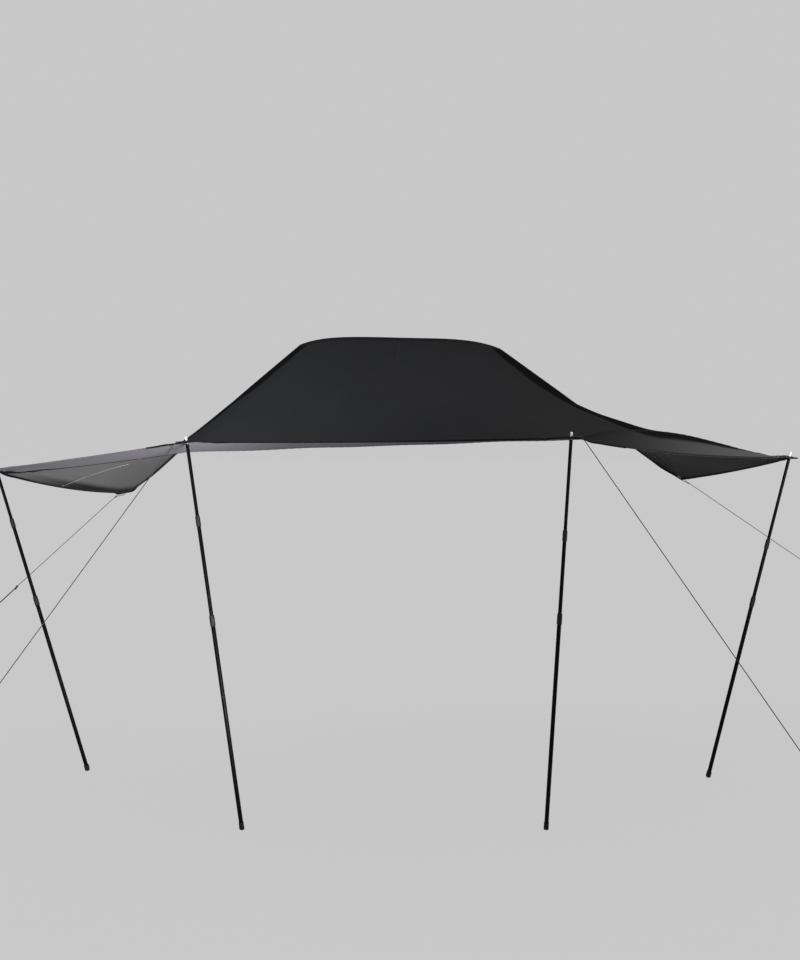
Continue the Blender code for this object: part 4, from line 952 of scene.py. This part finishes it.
for name in ("front_left", "front_right", "side_left", "side_right"):
    pivot = np.array(joints["swing_" + name]["pos_m"], float)
    upPole = -unit(np.array(joints["upper_draw_" + name]["axis"], float))
    upperLock = float(np.linalg.norm(np.array(joints["upper_twist_" + name]["pos_m"]) - pivot))
    lowerLock = float(np.linalg.norm(np.array(joints["lower_twist_" + name]["pos_m"]) - pivot))
    poleLength = float(np.linalg.norm(np.array(mounts["ground_" + name]["pos_m"]) - pivot))
    sleeveTop = -collarShape["neck"] - poleShape["fit"]

    def down(distance, start=pivot, axis=upPole):
        return placeAt(start - axis * distance, axis)

    addPiece("poleTip_" + name, turnedMesh("poleTip_" + name, tipProfile(), 48, down(0)), "top_" + name, [spigotSteel], ["tip_" + name])
    addPiece("spigotCap_" + name, turnedMesh("spigotCap_" + name, capProfile(), 40, down(0)), "top_" + name, [capNylon])
    topTube = turnedMesh("topTube_" + name, tubeProfile(poleShape["topRadius"], 0.0, -poleShape["section"]), 48, down(0), ring=True)
    addPiece("topTube_" + name, topTube, "top_" + name, [tubeMetal], ["top_tube_" + name])
    upperCollar = collarMesh("upperCollar_" + name, poleShape["topRadius"], poleShape["middleRadius"], down(upperLock))
    addPiece("upperCollar_" + name, upperCollar, "upper_lock_" + name, [collarNylon], ["upper_lock_" + name])
    middle = tubeProfile(poleShape["middleRadius"], sleeveTop, sleeveTop - poleShape["section"])
    middleTube = turnedMesh("middleTube_" + name, middle, 48, down(upperLock), ring=True)
    addPiece("middleTube_" + name, middleTube, "middle_" + name, [tubeMetal], ["middle_tube_" + name])
    lowerCollar = collarMesh("lowerCollar_" + name, poleShape["middleRadius"], poleShape["lowerRadius"], down(lowerLock))
    addPiece("lowerCollar_" + name, lowerCollar, "lower_lock_" + name, [collarNylon], ["lower_lock_" + name])
    lower = tubeProfile(poleShape["lowerRadius"], sleeveTop, poleShape["sole"] - poleShape["lowerReach"])
    lowerTube = turnedMesh("lowerTube_" + name, lower, 48, down(lowerLock), ring=True)
    addPiece("lowerTube_" + name, lowerTube, "lower_" + name, [tubeMetal], ["lower_tube_" + name])
    foot = footMesh("rubberFoot_" + name, name.startswith("side"), down(poleLength))
    addPiece("rubberFoot_" + name, foot, "lower_" + name, [footRubber], ["foot_" + name])
    print("pole", name, "length", round(poleLength, 3))


# Cloth panels: the canopy's formula on a fine grid, with an upper and an under skin

# One piece of several parts, each its points, faces, uv and surface
def joined(name, parts, surfaces, body, replaced=(), sharp=None):
    points, faces, uv, slots, count = [], [], [], [], 0
    for partPoints, partFaces, partUv, partSlot in parts:
        points.append(np.asarray(partPoints).reshape(-1, 3))
        faces.append(partFaces + count)
        uv.append(np.asarray(partUv).reshape(-1, 2))
        slots.append(np.zeros(len(partFaces)) + partSlot)
        count += len(points[-1])
    mesh = buildMesh(name, np.concatenate(points), np.concatenate(faces), np.concatenate(uv), np.concatenate(slots))
    return addPiece(name, tidied(mesh, sharp), body, surfaces, replaced)


# Metres of cloth along each line of a grid of points, from its middle row and its first column
def clothMetres(points):
    across = np.concatenate([np.zeros((1, points.shape[1])), np.cumsum(np.linalg.norm(np.diff(points, axis=0), axis=-1), axis=0)])
    back = np.concatenate([np.zeros((points.shape[0], 1)), np.cumsum(np.linalg.norm(np.diff(points, axis=1), axis=-1), axis=1)], 1)
    return np.stack([across - across[len(across) // 2], back], -1)


# A sheet between an upper and an under skin, half the cloth's thickness off its middle layer
def panel(name, uLine, vLine, node, underSide):
    u, v = np.meshgrid(uLine, vLine, indexing="ij")
    half = tapes["cloth"] / 2
    middle = canopy(u, v)
    normal = normalOf(flatCanopy, u, v, 0.01)
    uv = clothMetres(middle)
    rows, columns = u.shape
    index = np.arange(rows * columns).reshape(rows, columns)
    rim = np.concatenate([index[:-1, 0], index[-1, :-1], index[:0:-1, -1], index[0, :0:-1]])
    nextRim = np.roll(rim, -1)
    quads = gridQuads(rows, columns)
    below = rows * columns
    faces = np.concatenate([quads, quads[:, ::-1] + below, np.stack([rim, rim + below, nextRim + below, nextRim], -1)])
    slots = np.concatenate([np.zeros(len(quads)), np.ones(len(quads)), np.zeros(len(rim))])
    points = np.concatenate([(middle + normal * half).reshape(-1, 3), (middle - normal * half).reshape(-1, 3)])
    share = np.stack([u / 3, v], -1).reshape(-1, 2)
    mesh = buildMesh(name, points, faces, np.concatenate([uv.reshape(-1, 2)] * 2), slots, np.concatenate([share] * 2))
    piece = addPiece(name, mesh, "canopy", [topCloth, underSide], [node])
    drill(piece, [at for at in eyeletAt.values() if np.abs(middle - at[0]).sum(-1).min() < 0.03])
    return piece


# Eyelet holes, cut with rods through the cloth
def drill(piece, places):
    rods = bmesh.new()
    for centre, normal in places:
        turn, origin = placeAt(centre, normal)
        matrix = Matrix(turn.tolist()).to_4x4()
        matrix.translation = origin.tolist()
        reach = eyeletShape["bore"] + eyeletShape["thick"] + eyeletShape["fit"]
        bmesh.ops.create_cone(rods, cap_ends=True, segments=48, radius1=reach, radius2=reach, depth=12 * mm, matrix=matrix)
    mesh = bpy.data.meshes.new("rods")
    rods.to_mesh(mesh)
    rods.free()
    cutter = bpy.data.objects.new("rods", mesh)
    bpy.context.scene.collection.objects.link(cutter)
    hole = piece.modifiers.new("hole", "BOOLEAN")
    hole.operation, hole.solver, hole.object = "DIFFERENCE", "EXACT", cutter
    bpy.context.view_layer.update()
    cut = bpy.data.meshes.new_from_object(piece.evaluated_get(bpy.context.evaluated_depsgraph_get()))
    piece.modifiers.clear()
    old, piece.data = piece.data, cut
    bpy.data.meshes.remove(old)
    bpy.data.objects.remove(cutter)
    cut.shade_smooth()


# Points of a strip on the cloth. Its line is one of constant u or of constant v, which runs through
# the given values of the other; the offsets to one side of it are in metres. Beyond an edge of the
# cloth the points go straight on outwards.
def stripPoints(line, knot, inward, run, offset, lift):
    run, offset, lift = np.broadcast_arrays(run[:, None], offset, lift)
    isEdge = knot in (0.0, 3.0) if line == "u" else knot in (0.0, 1.0)
    onCloth = np.maximum(offset, 0) if isEdge else offset
    if line == "u":
        size = np.where(onCloth * inward < 0, acrossSize(knot, run, -1), acrossSize(knot, run, 1))
        if isEdge:
            size = acrossSize(knot, run, inward)
        u, v = knot + onCloth * inward / size, run
    else:
        forward = onCloth * inward < 0
        size = np.where(forward if not isEdge else inward < 0 if knot == 0.0 else knot == 0.0, backSize(run, True), backSize(run, False))
        if knot == 0.0:
            size = backSize(run, True)
        if knot == 1.0:
            size = backSize(run, False)
        u, v = run, knot + onCloth * inward / size
    points = layer(u, v, lift)
    if isEdge:
        step = 0.004 * inward / size
        inside = layer(u + step, v, lift) if line == "u" else layer(u, v + step, lift)
        outward = unit(points - inside)
        points = points + outward * np.maximum(-offset, 0)[..., None]
    return points


# A closed band round every point of a line: the outer path of its section, then the inner path back
def bandPart(rings, slot=0):
    count, around = rings.shape[:2]
    half = around // 2
    faces = gridQuads(count, around, ringColumns=True)
    ends = []
    for start in (0, (count - 1) * around):
        index = start + np.arange(half - 1)
        ends.append(np.stack([index, index + 1, start + around - 2 - np.arange(half - 1), start + around - 1 - np.arange(half - 1)], -1))
    run = np.concatenate([[0], np.cumsum(np.linalg.norm(np.diff(rings[:, 0], axis=0), axis=-1))])
    section = np.concatenate([[0], np.cumsum(np.linalg.norm(np.diff(rings[0], axis=0), axis=-1))])
    uv = np.stack(np.broadcast_arrays(run[:, None], section[None, :]), -1)
    if np.ndim(slot):    # one for each point of the section
        slot = np.concatenate([np.tile(slot, count - 1), np.full(2 * half - 2, slot[0])])
    return rings, np.concatenate([faces, ends[0], ends[1]]), uv, slot


stitchShape = {"pitch": 8 * mm, "length": 5.2 * mm, "radius": 0.42 * mm, "sides": 6}


# Stitches along a path of points, each a six-sided spindle half sunk in the cloth
def stitchPart(path, slot, grow=1.0, pitch=None):
    pitch = pitch or stitchShape["pitch"] * grow
    run = np.concatenate([[0], np.cumsum(np.linalg.norm(np.diff(path, axis=0), axis=1))])
    at = np.arange(pitch / 2, run[-1], pitch)
    half = stitchShape["length"] * grow / 2
    ends = [np.stack([np.interp(at + side * half, run, path[:, axis]) for axis in range(3)], -1) for side in (-1, 1)]
    along = unit(ends[1] - ends[0])
    across = unit(np.cross(along, (0.0, 0.0, 1.0)))
    up = np.cross(across, along)
    middle = (ends[0] + ends[1]) / 2
    sides = stitchShape["sides"]
    angle = 2 * np.pi * np.arange(sides) / sides
    radius = stitchShape["radius"] * grow
    shares = np.array([-1.0, -0.8, 0.8, 1.0])
    radii = np.array([0.0, radius, radius, 0.0])
    ring = across[:, None, None] * np.cos(angle)[None, None, :, None] + up[:, None, None] * np.sin(angle)[None, None, :, None]
    points = middle[:, None, None] + along[:, None, None] * (shares * half)[None, :, None, None] + ring * radii[None, :, None, None]
    base = gridQuads(4, sides, ringColumns=True)
    faces = (base[None] + (np.arange(len(at)) * 4 * sides)[:, None, None]).reshape(-1, 4)
    uv = np.stack(np.broadcast_arrays(at[:, None, None], (angle * radius)[None, None, :]), -1)
    return points, faces, np.broadcast_to(uv, (len(at), 4, sides, 2)), slot


# Section of a tape folded round a cord: a straight upper leaf, an arc of 260 degrees round the cord
# and a straight under leaf, then the same way back, a wall further in. It runs inward from the edge.
def cordedSection(width, cordAt, radius, leaf=1.2 * mm, wall=0.6 * mm):
    turns = np.radians(np.linspace(50, 310, 19))
    neck = cordAt + radius + 1.4 * mm
    paths = []
    for inset, ease in ((0.0, 0.4 * mm), (wall, 0.0)):
        across = [width, width - 0.5 * mm, width - 1.2 * mm, (width + neck) / 2, neck]
        height = [leaf - inset - ease, leaf - inset, leaf - inset, leaf - inset, leaf - inset]
        over = np.stack([across, height], 1)
        arc = np.stack([cordAt + (radius - inset) * np.cos(turns), (radius - inset) * np.sin(turns)], 1)
        paths.append(np.concatenate([over, arc, over[::-1] * (1, -1)]))
    return np.concatenate([paths[0], paths[1][::-1]])


# Section of a flat tape: over its top with both edges eased, and back along its under side
def flatSection(width, top, bottom, centre=0.0):
    half, ease = width / 2, 0.35 * mm
    over = [(-half, bottom + 0.1 * mm), (-half + ease / 3, top - 0.1 * mm), (-half + ease, top), (0.0, top), (half - ease, top), (half - ease / 3, top - 0.1 * mm), (half, bottom + 0.1 * mm)]
    under = [(half, bottom), (half - ease / 3, bottom), (half - ease, bottom), (0.0, bottom), (-half + ease, bottom), (-half + ease / 3, bottom), (-half, bottom)]
    return np.array(over + under) + np.array([centre, 0.0])


# Rings of a section's points along a line of the cloth
def stripRings(line, knot, inward, run, section, widths=None):
    offset = section[:, 0][None, :] * (1.0 if widths is None else widths[:, None])
    return stripPoints(line, knot, inward, run, offset, section[:, 1][None, :])


# One row of points beside a line of the cloth
def stripRow(line, knot, inward, run, offset, lift):
    return stripPoints(line, knot, inward, run, np.array([[offset]]), np.array([[lift]]))[:, 0]


hemShape = {
    "width": 26 * mm,
    "rearWidth": 40 * mm,
    "railWidth": 45 * mm,
    "cordAt": 1.5 * mm,
    "cordRadius": 4.2 * mm,
    "selfRadius": 1.6 * mm,
    "stitchTop": 1.25 * mm,
    "firstRow": 9 * mm,
    "lastRow": 5 * mm,    # from the tape's inner edge
}
hems = {
    "front_hem": ("frontHem", "v", 0.0, 1, 0.82, 2.22, 210, hemShape["width"]),
    "side_hem_left": ("sideHem_left", "u", 0.0, 1, 0.0, 1.0, 130, hemShape["width"]),
    "side_hem_right": ("sideHem_right", "u", 3.0, -1, 0.0, 1.0, 130, hemShape["width"]),
    "rear_hem_left": ("rearHem_left", "v", 1.0, -1, 0.0, 1.0, 180, hemShape["rearWidth"]),
    "rear_hem_right": ("rearHem_right", "v", 1.0, -1, 2.0, 3.0, 180, hemShape["rearWidth"]),
}


# A corded tape along an edge with rows of stitches on both sides
def edgeTape(pieceName, node, line, knot, inward, run, section, rows, more=()):
    parts = [bandPart(stripRings(line, knot, inward, run, section)), *more]
    for offset in rows:
        for side in (1, -1):
            row = stripRow(line, knot, inward, run, offset, side * hemShape["stitchTop"])
            parts.append(stitchPart(row, 1))
    print("tape", pieceName)
    return joined(pieceName, parts, [hemTape, sewingThread, seamCloth, greyCloth], "canopy", [node], 60)


# The front edge of a wing has a plain hem of its own cloth, dark above and grey below, stitched twice
def selfHem(start, end, count):
    section = cordedSection(hemShape["width"], 0.8 * mm, hemShape["selfRadius"])
    below = (section[:, 1] < 0).astype(int)
    run = np.linspace(start, end, count)
    parts = [bandPart(stripRings("v", 0.0, 1, run, section), 2 + below)]
    for offset in (hemShape["firstRow"], hemShape["width"] - hemShape["lastRow"]):
        for side in (1, -1):
            parts.append(stitchPart(stripRow("v", 0.0, 1, run, offset, side * hemShape["stitchTop"]), 1))
    return parts


for node, (pieceName, line, knot, inward, start, end, count, width) in hems.items():
    section = cordedSection(width, hemShape["cordAt"], hemShape["cordRadius"])
    rows = (hemShape["firstRow"], width - hemShape["lastRow"])
    run = np.linspace(start, end, count)
    more = selfHem(0.0, start, 130) + selfHem(end, 3.0, 130) if node == "front_hem" else ()
    edgeTape(pieceName, node, line, knot, inward, run, section, rows, more)

section = cordedSection(hemShape["railWidth"], -tapes["beadOut"], tapes["beadRadius"])
rows = (-2 * mm, 4 * mm, hemShape["railWidth"] - hemShape["lastRow"])
railStrip = edgeTape("railStrip", "rail_bead_strip", "v", 1.0, -1, np.linspace(1.0, 2.0, 220), section, rows)
beadLine = stripRow("v", 1.0, -1, np.linspace(1.0, 2.0, 120), -tapes["beadOut"], 0.0)
beadMesh = tubeMesh("vinylBead", beadLine, tapes["beadRadius"] - 0.65 * mm, 20)
bead = addPiece("vinylBead", beadMesh, "canopy", [beadVinyl])


# Seams: a flat fold of cloth or a tape above, a tape below, and two rows of stitches through both
seams = {
    "crossSeam": ("v", shape["seamV"], 0.012, 2.988, 450, 26 * mm, 28 * mm, 2),
    "middleSeam": ("u", 1.5, shape["seamV"] + 0.006, 0.975, 170, 14 * mm, 14 * mm, 0),
}
for name, (line, knot, start, end, count, foldWidth, tapeWidth, upperSlot) in seams.items():
    run = np.linspace(start, end, count)
    parts = []
    for side, width, slot in ((1, foldWidth, upperSlot), (-1, tapeWidth, 2)):
        section = flatSection(width, 1.15 * mm, 0.52 * mm) * (1, side)
        rings, faces, uv, _ = bandPart(stripRings(line, knot, 1, run, section))
        parts.append((rings, faces, uv, slot))
        for offset in (-0.32 * foldWidth, 0.32 * foldWidth):
            parts.append(stitchPart(stripRow(line, knot, 1, run, offset, side * 1.2 * mm), 1))
    joined(name, parts, [seamCloth, sewingThread, hemTape], "canopy", (), 60)
    print("seam", name)


# Pale stitching where a doubled strip is sewn under the left wing. It bows towards the front as it
# runs in: v falls with the distance left to the inner end, to the power 1.6. Thread of 0.8 mm, drawn
# at 3.4 mm so that it shows.
paleLine = {"start": 0.035, "end": 0.53, "endV": 0.475, "rise": 0.103, "power": 1.6, "count": 160}
paleU = np.linspace(paleLine["start"], paleLine["end"], paleLine["count"])
paleV = paleLine["endV"] + paleLine["rise"] * (1 - paleU / paleLine["end"]) ** paleLine["power"]
palePath = layer(paleU, paleV, np.full(paleLine["count"], -0.7 * mm))
paleParts = [stitchPart(palePath, 0, grow=4.0, pitch=25 * mm)]
paleStitching = joined("underStitching_left", paleParts, [paleThread], "canopy")


# Corner patches: polar grids from the eyelet out to a rounded rectangle, box stitched
patchShape = {"corner": 9 * mm, "first": 9.5 * mm, "rings": 22, "around": 128, "hole": 9.3 * mm, "stitchIn": 5 * mm, "eyeRing": 19 * mm}


# Distance from a point inside a rounded rectangle to its outline, each way round
def outlineReach(low, high, centre, angle, corner):
    low, high, centre = (np.asarray(value, float) for value in (low, high, centre))
    direction = np.stack([np.cos(angle), np.sin(angle)], -1)
    near, far = np.zeros(len(angle)), np.full(len(angle), 0.5)
    for _ in range(32):    # halve the range until it is exact
        middle = (near + far) / 2
        at = centre + direction * middle[:, None]
        beyond = np.abs(at - (low + high) / 2) - (high - low) / 2 + corner
        outside = np.linalg.norm(np.maximum(beyond, 0), axis=-1) + np.minimum(beyond.max(-1), 0) - corner
        near, far = np.where(outside < 0, middle, near), np.where(outside < 0, far, middle)
    return near


def patchPoints(name, offsets, lift):
    u, v, signU, signV = eyelets[name]
    across, back = offsets[..., 0], offsets[..., 1]
    if signU:
        patchU = u + signU * across / acrossSize(float(u), np.array(float(v)), signU)
    else:
        patchU = u + np.where(across < 0, across / acrossSize(float(u), np.array(float(v)), -1), across / acrossSize(float(u), np.array(float(v)), 1))
    patchV = v + signV * back / backSize(np.array(float(u)), v < seamV)
    return layer(patchU, patchV, lift)


def smoothStep(t):
    t = np.clip(t, 0, 1)
    return t * t * (3 - 2 * t)


patchPieces, eyeletPieces = [], []
for name, (u, v, signU, signV) in eyelets.items():
    inset = eyeletShape["inset"] if signU else eyeletShape["frontInset"]
    size = tapes["patchSize"]
    low = (patchShape["first"], patchShape["first"]) if signU else (-tapes["patchHalf"], patchShape["first"])
    high = (size, size) if signU else (tapes["patchHalf"], size)
    centre = np.array([inset if signU else 0.0, inset])
    angle = 2 * np.pi * np.arange(patchShape["around"]) / patchShape["around"]
    reach = outlineReach(low, high, centre, angle, patchShape["corner"])
    share = np.linspace(0, 1, patchShape["rings"])

    def patchLift(offsets, spread):
        fromEdge = np.minimum(offsets[..., 1], offsets[..., 0] if signU else offsets[..., 1])
        overHem = 1 - smoothStep((fromEdge - hemShape["rearWidth" if v else "width"]) / (6 * mm))
        edgeLift = 1.15 * mm + 0.75 * mm * overHem
        return 2.4 * mm + (edgeLift - 2.4 * mm) * smoothStep((spread - 0.35) / 0.55)

    spread = np.broadcast_to(share[:, None], (len(share), len(angle)))
    distance = patchShape["hole"] + (reach - patchShape["hole"])[None, :] * spread
    offsets = centre + np.stack([distance * np.cos(angle), distance * np.sin(angle)], -1)
    lift = patchLift(offsets, spread)
    thick = np.array([0.35, 0.6] + [0.6] * (patchShape["rings"] - 4) + [0.52, 0.25])[:, None] * mm
    skins = np.concatenate([patchPoints(name, offsets, lift + thick), patchPoints(name, offsets[::-1], (lift - thick)[::-1])])
    faces = gridQuads(len(skins), len(angle), ringRows=True, ringColumns=True)
    flatUv = np.concatenate([offsets, offsets[::-1]])
    parts = [(skins, faces, flatUv, 0)]
    closed = np.concatenate([angle, angle[:1]])
    for back in (patchShape["stitchIn"], patchShape["stitchIn"] + 4 * mm):
        edgeReach = outlineReach(np.array(low) + back, np.array(high) - back, centre, closed, patchShape["corner"] - back / 3)
        row = centre + np.stack([edgeReach * np.cos(closed), edgeReach * np.sin(closed)], -1)
        rowShare = (edgeReach - patchShape["hole"]) / (np.append(reach, reach[0]) - patchShape["hole"])
        parts.append(stitchPart(patchPoints(name, row, patchLift(row, rowShare) + 0.68 * mm), 1))
    eyeRow = centre + patchShape["eyeRing"] * np.stack([np.cos(closed), np.sin(closed)], -1)
    parts.append(stitchPart(patchPoints(name, eyeRow, np.full(len(closed), 3.08 * mm)), 1))
    patchPieces.append(joined("cornerPatch_" + name, parts, [doubledCloth, sewingThread], "canopy", ["patch_" + name], 50))

    place = placeAt(*eyeletAt[name])
    section = np.array([
        (7.0, 3.6), (7.4, 4.15), (8.6, 4.3), (13.0, 4.2), (14.0, 3.75), (13.8, 3.3), (8.0, 3.3), (8.0, -1.5),
        (13.6, -1.5), (14.0, -1.8), (13.6, -2.3), (12.6, -2.5), (8.4, -2.5), (7.3, -2.3), (7.0, -1.8),
    ]) * mm
    ring = turnedMesh("eyelet_" + name, ringRounded(section, 0.5 * mm, 4), 72, place, ring=True, sharp=60)
    eyeletPieces.append(addPiece("cornerEyelet_" + name, ring, "canopy", [eyeletBrass], ["eyelet_" + name]))
print("patches and eyelets")


sections = {"left": (0.0, 1.0, 150), "middleLeft": (1.0, 1.5, 90), "middleRight": (1.5, 2.0, 90), "right": (2.0, 3.0, 160)}


def gridStops(*names):
    made = [np.linspace(*sections[name])[:-1] for name in names]
    return np.append(np.concatenate(made), sections[names[-1]][1])


panel(
    "frontPanel", gridStops("left", "middleLeft", "middleRight", "right"), np.linspace(0.0, shape["seamV"], 60), "front_panel",
    frontUnder,
)
panel(
    "rearPanelLeft", gridStops("left", "middleLeft"), np.linspace(shape["seamV"], 1.0, 150), "rear_panel_left",
    rearUnder,
)
panel(
    "rearPanelRight", gridStops("middleRight", "right"), np.linspace(shape["seamV"], 1.0, 150), "rear_panel_right",
    rearUnder,
)


# Light: a surround that is bright above and dim at the horizon, a soft light from high on the left,
# a low one that reaches under the left wing, and a narrow one on the right wing's front strip

lights = {
    "zenith": 1.0,
    "horizon": 0.14,
    "backdrop": "#c8c8c8",
    "floorGlow": 0.945,
    "floorTone": "#202020",
    "high": {"power": 1850.0, "radius": 0.5, "cone": 37, "at": (-2.4, -6.4, 1.9), "to": (-1.25, -1.3, -0.5), "tint": (0.88, 0.92, 1.0)},
    "low": {"power": 1480.0, "radius": 0.3, "cone": 60, "at": (0.5, -4.5, -2.5), "to": (-1.7, -1.5, -0.9), "tint": (1.0, 1.0, 1.0)},
    "side": {"power": 1050.0, "radius": 0.3, "cone": 38, "at": (3.0, -5.5, 0.3), "to": (1.75, -1.6, -0.78), "tint": (1.0, 1.0, 1.0)},
}
world = bpy.data.worlds.new("surround")
bpy.context.scene.world = world
world.use_nodes = True
tree = world.node_tree
tree.nodes.clear()
path = addNode(tree, "ShaderNodeLightPath")
shown = addNode(tree, "ShaderNodeMath", {"operation": "MAXIMUM"}, {0: path.outputs["Is Camera Ray"], 1: path.outputs["Is Glossy Ray"]})
seen = addNode(tree, "ShaderNodeBackground", inputs={"Color": fromHex(lights["backdrop"]), "Strength": 1.0})
sky = addNode(tree, "ShaderNodeTexCoord")
split = addNode(tree, "ShaderNodeSeparateXYZ", inputs={0: sky.outputs["Generated"]})
level = addNode(
    tree, "ShaderNodeMapRange", {"interpolation_type": "SMOOTHSTEP"},
    {0: split.outputs["Z"], 1: 0.0, 2: 1.0, 3: lights["horizon"], 4: lights["zenith"]},
)
unseen = addNode(tree, "ShaderNodeBackground", inputs={"Color": (1.0, 1.0, 1.0, 1.0), "Strength": level.outputs[0]})
mixed = addNode(tree, "ShaderNodeMixShader", inputs={0: shown.outputs[0], 1: unseen.outputs[0], 2: seen.outputs[0]})
output = addNode(tree, "ShaderNodeOutputWorld", inputs={"Surface": mixed.outputs[0]})


def aimed(light, spot, target):
    holder = bpy.data.objects.new(light.name, light)
    holder.location = spot
    direction = unit(np.array(target, float) - np.array(spot, float))
    turn, _ = placeAt(spot, -direction, (0.0, 0.0, 1.0))
    holder.rotation_euler = Matrix(turn.tolist()).to_euler()
    bpy.context.scene.collection.objects.link(holder)
    return holder


for name in ("high", "low", "side"):
    lamp = bpy.data.lights.new(name, "SPOT")
    lamp.energy, lamp.shadow_soft_size = lights[name]["power"], lights[name]["radius"]
    lamp.spot_size, lamp.spot_blend = math.radians(lights[name]["cone"]), 1.0
    lamp.color = lights[name]["tint"]
    aimed(lamp, lights[name]["at"], lights[name]["to"])

floorMesh = bpy.data.meshes.new("floor")
floorMesh.from_pydata([(-90, -40, ground), (90, -40, ground), (90, 140, ground), (-90, 140, ground)], [], [(0, 1, 2, 3)])
floorPlane = bpy.data.objects.new("floor", floorMesh)
bpy.context.scene.collection.objects.link(floorPlane)
floorMaterial = bpy.data.materials.new("paleFloor")
floorMaterial.use_nodes = True
tree = floorMaterial.node_tree
tree.nodes.clear()
path = addNode(tree, "ShaderNodeLightPath")
direct = addNode(tree, "ShaderNodeMath", {"operation": "MAXIMUM"}, {0: path.outputs["Is Camera Ray"], 1: path.outputs["Is Glossy Ray"]})
through = addNode(tree, "ShaderNodeMath", {"operation": "MAXIMUM"}, {0: direct.outputs[0], 1: path.outputs["Is Transmission Ray"]})
glow = addNode(tree, "ShaderNodeEmission", inputs={"Color": fromHex(lights["backdrop"]), "Strength": lights["floorGlow"]})
lit = addNode(tree, "ShaderNodeBsdfDiffuse", inputs={"Color": (0.05, 0.05, 0.05, 1.0)})
shadowed = addNode(tree, "ShaderNodeAddShader", inputs={0: glow.outputs[0], 1: lit.outputs[0]})
plain = addNode(tree, "ShaderNodeBsdfDiffuse", inputs={"Color": fromHex(lights["floorTone"])})
mixed = addNode(tree, "ShaderNodeMixShader", inputs={0: through.outputs[0], 1: plain.outputs[0], 2: shadowed.outputs[0]})
addNode(tree, "ShaderNodeOutputMaterial", inputs={"Surface": mixed.outputs[0]})
floorMesh.materials.append(floorMaterial)
bpy.context.scene.view_settings.view_transform = "Standard"
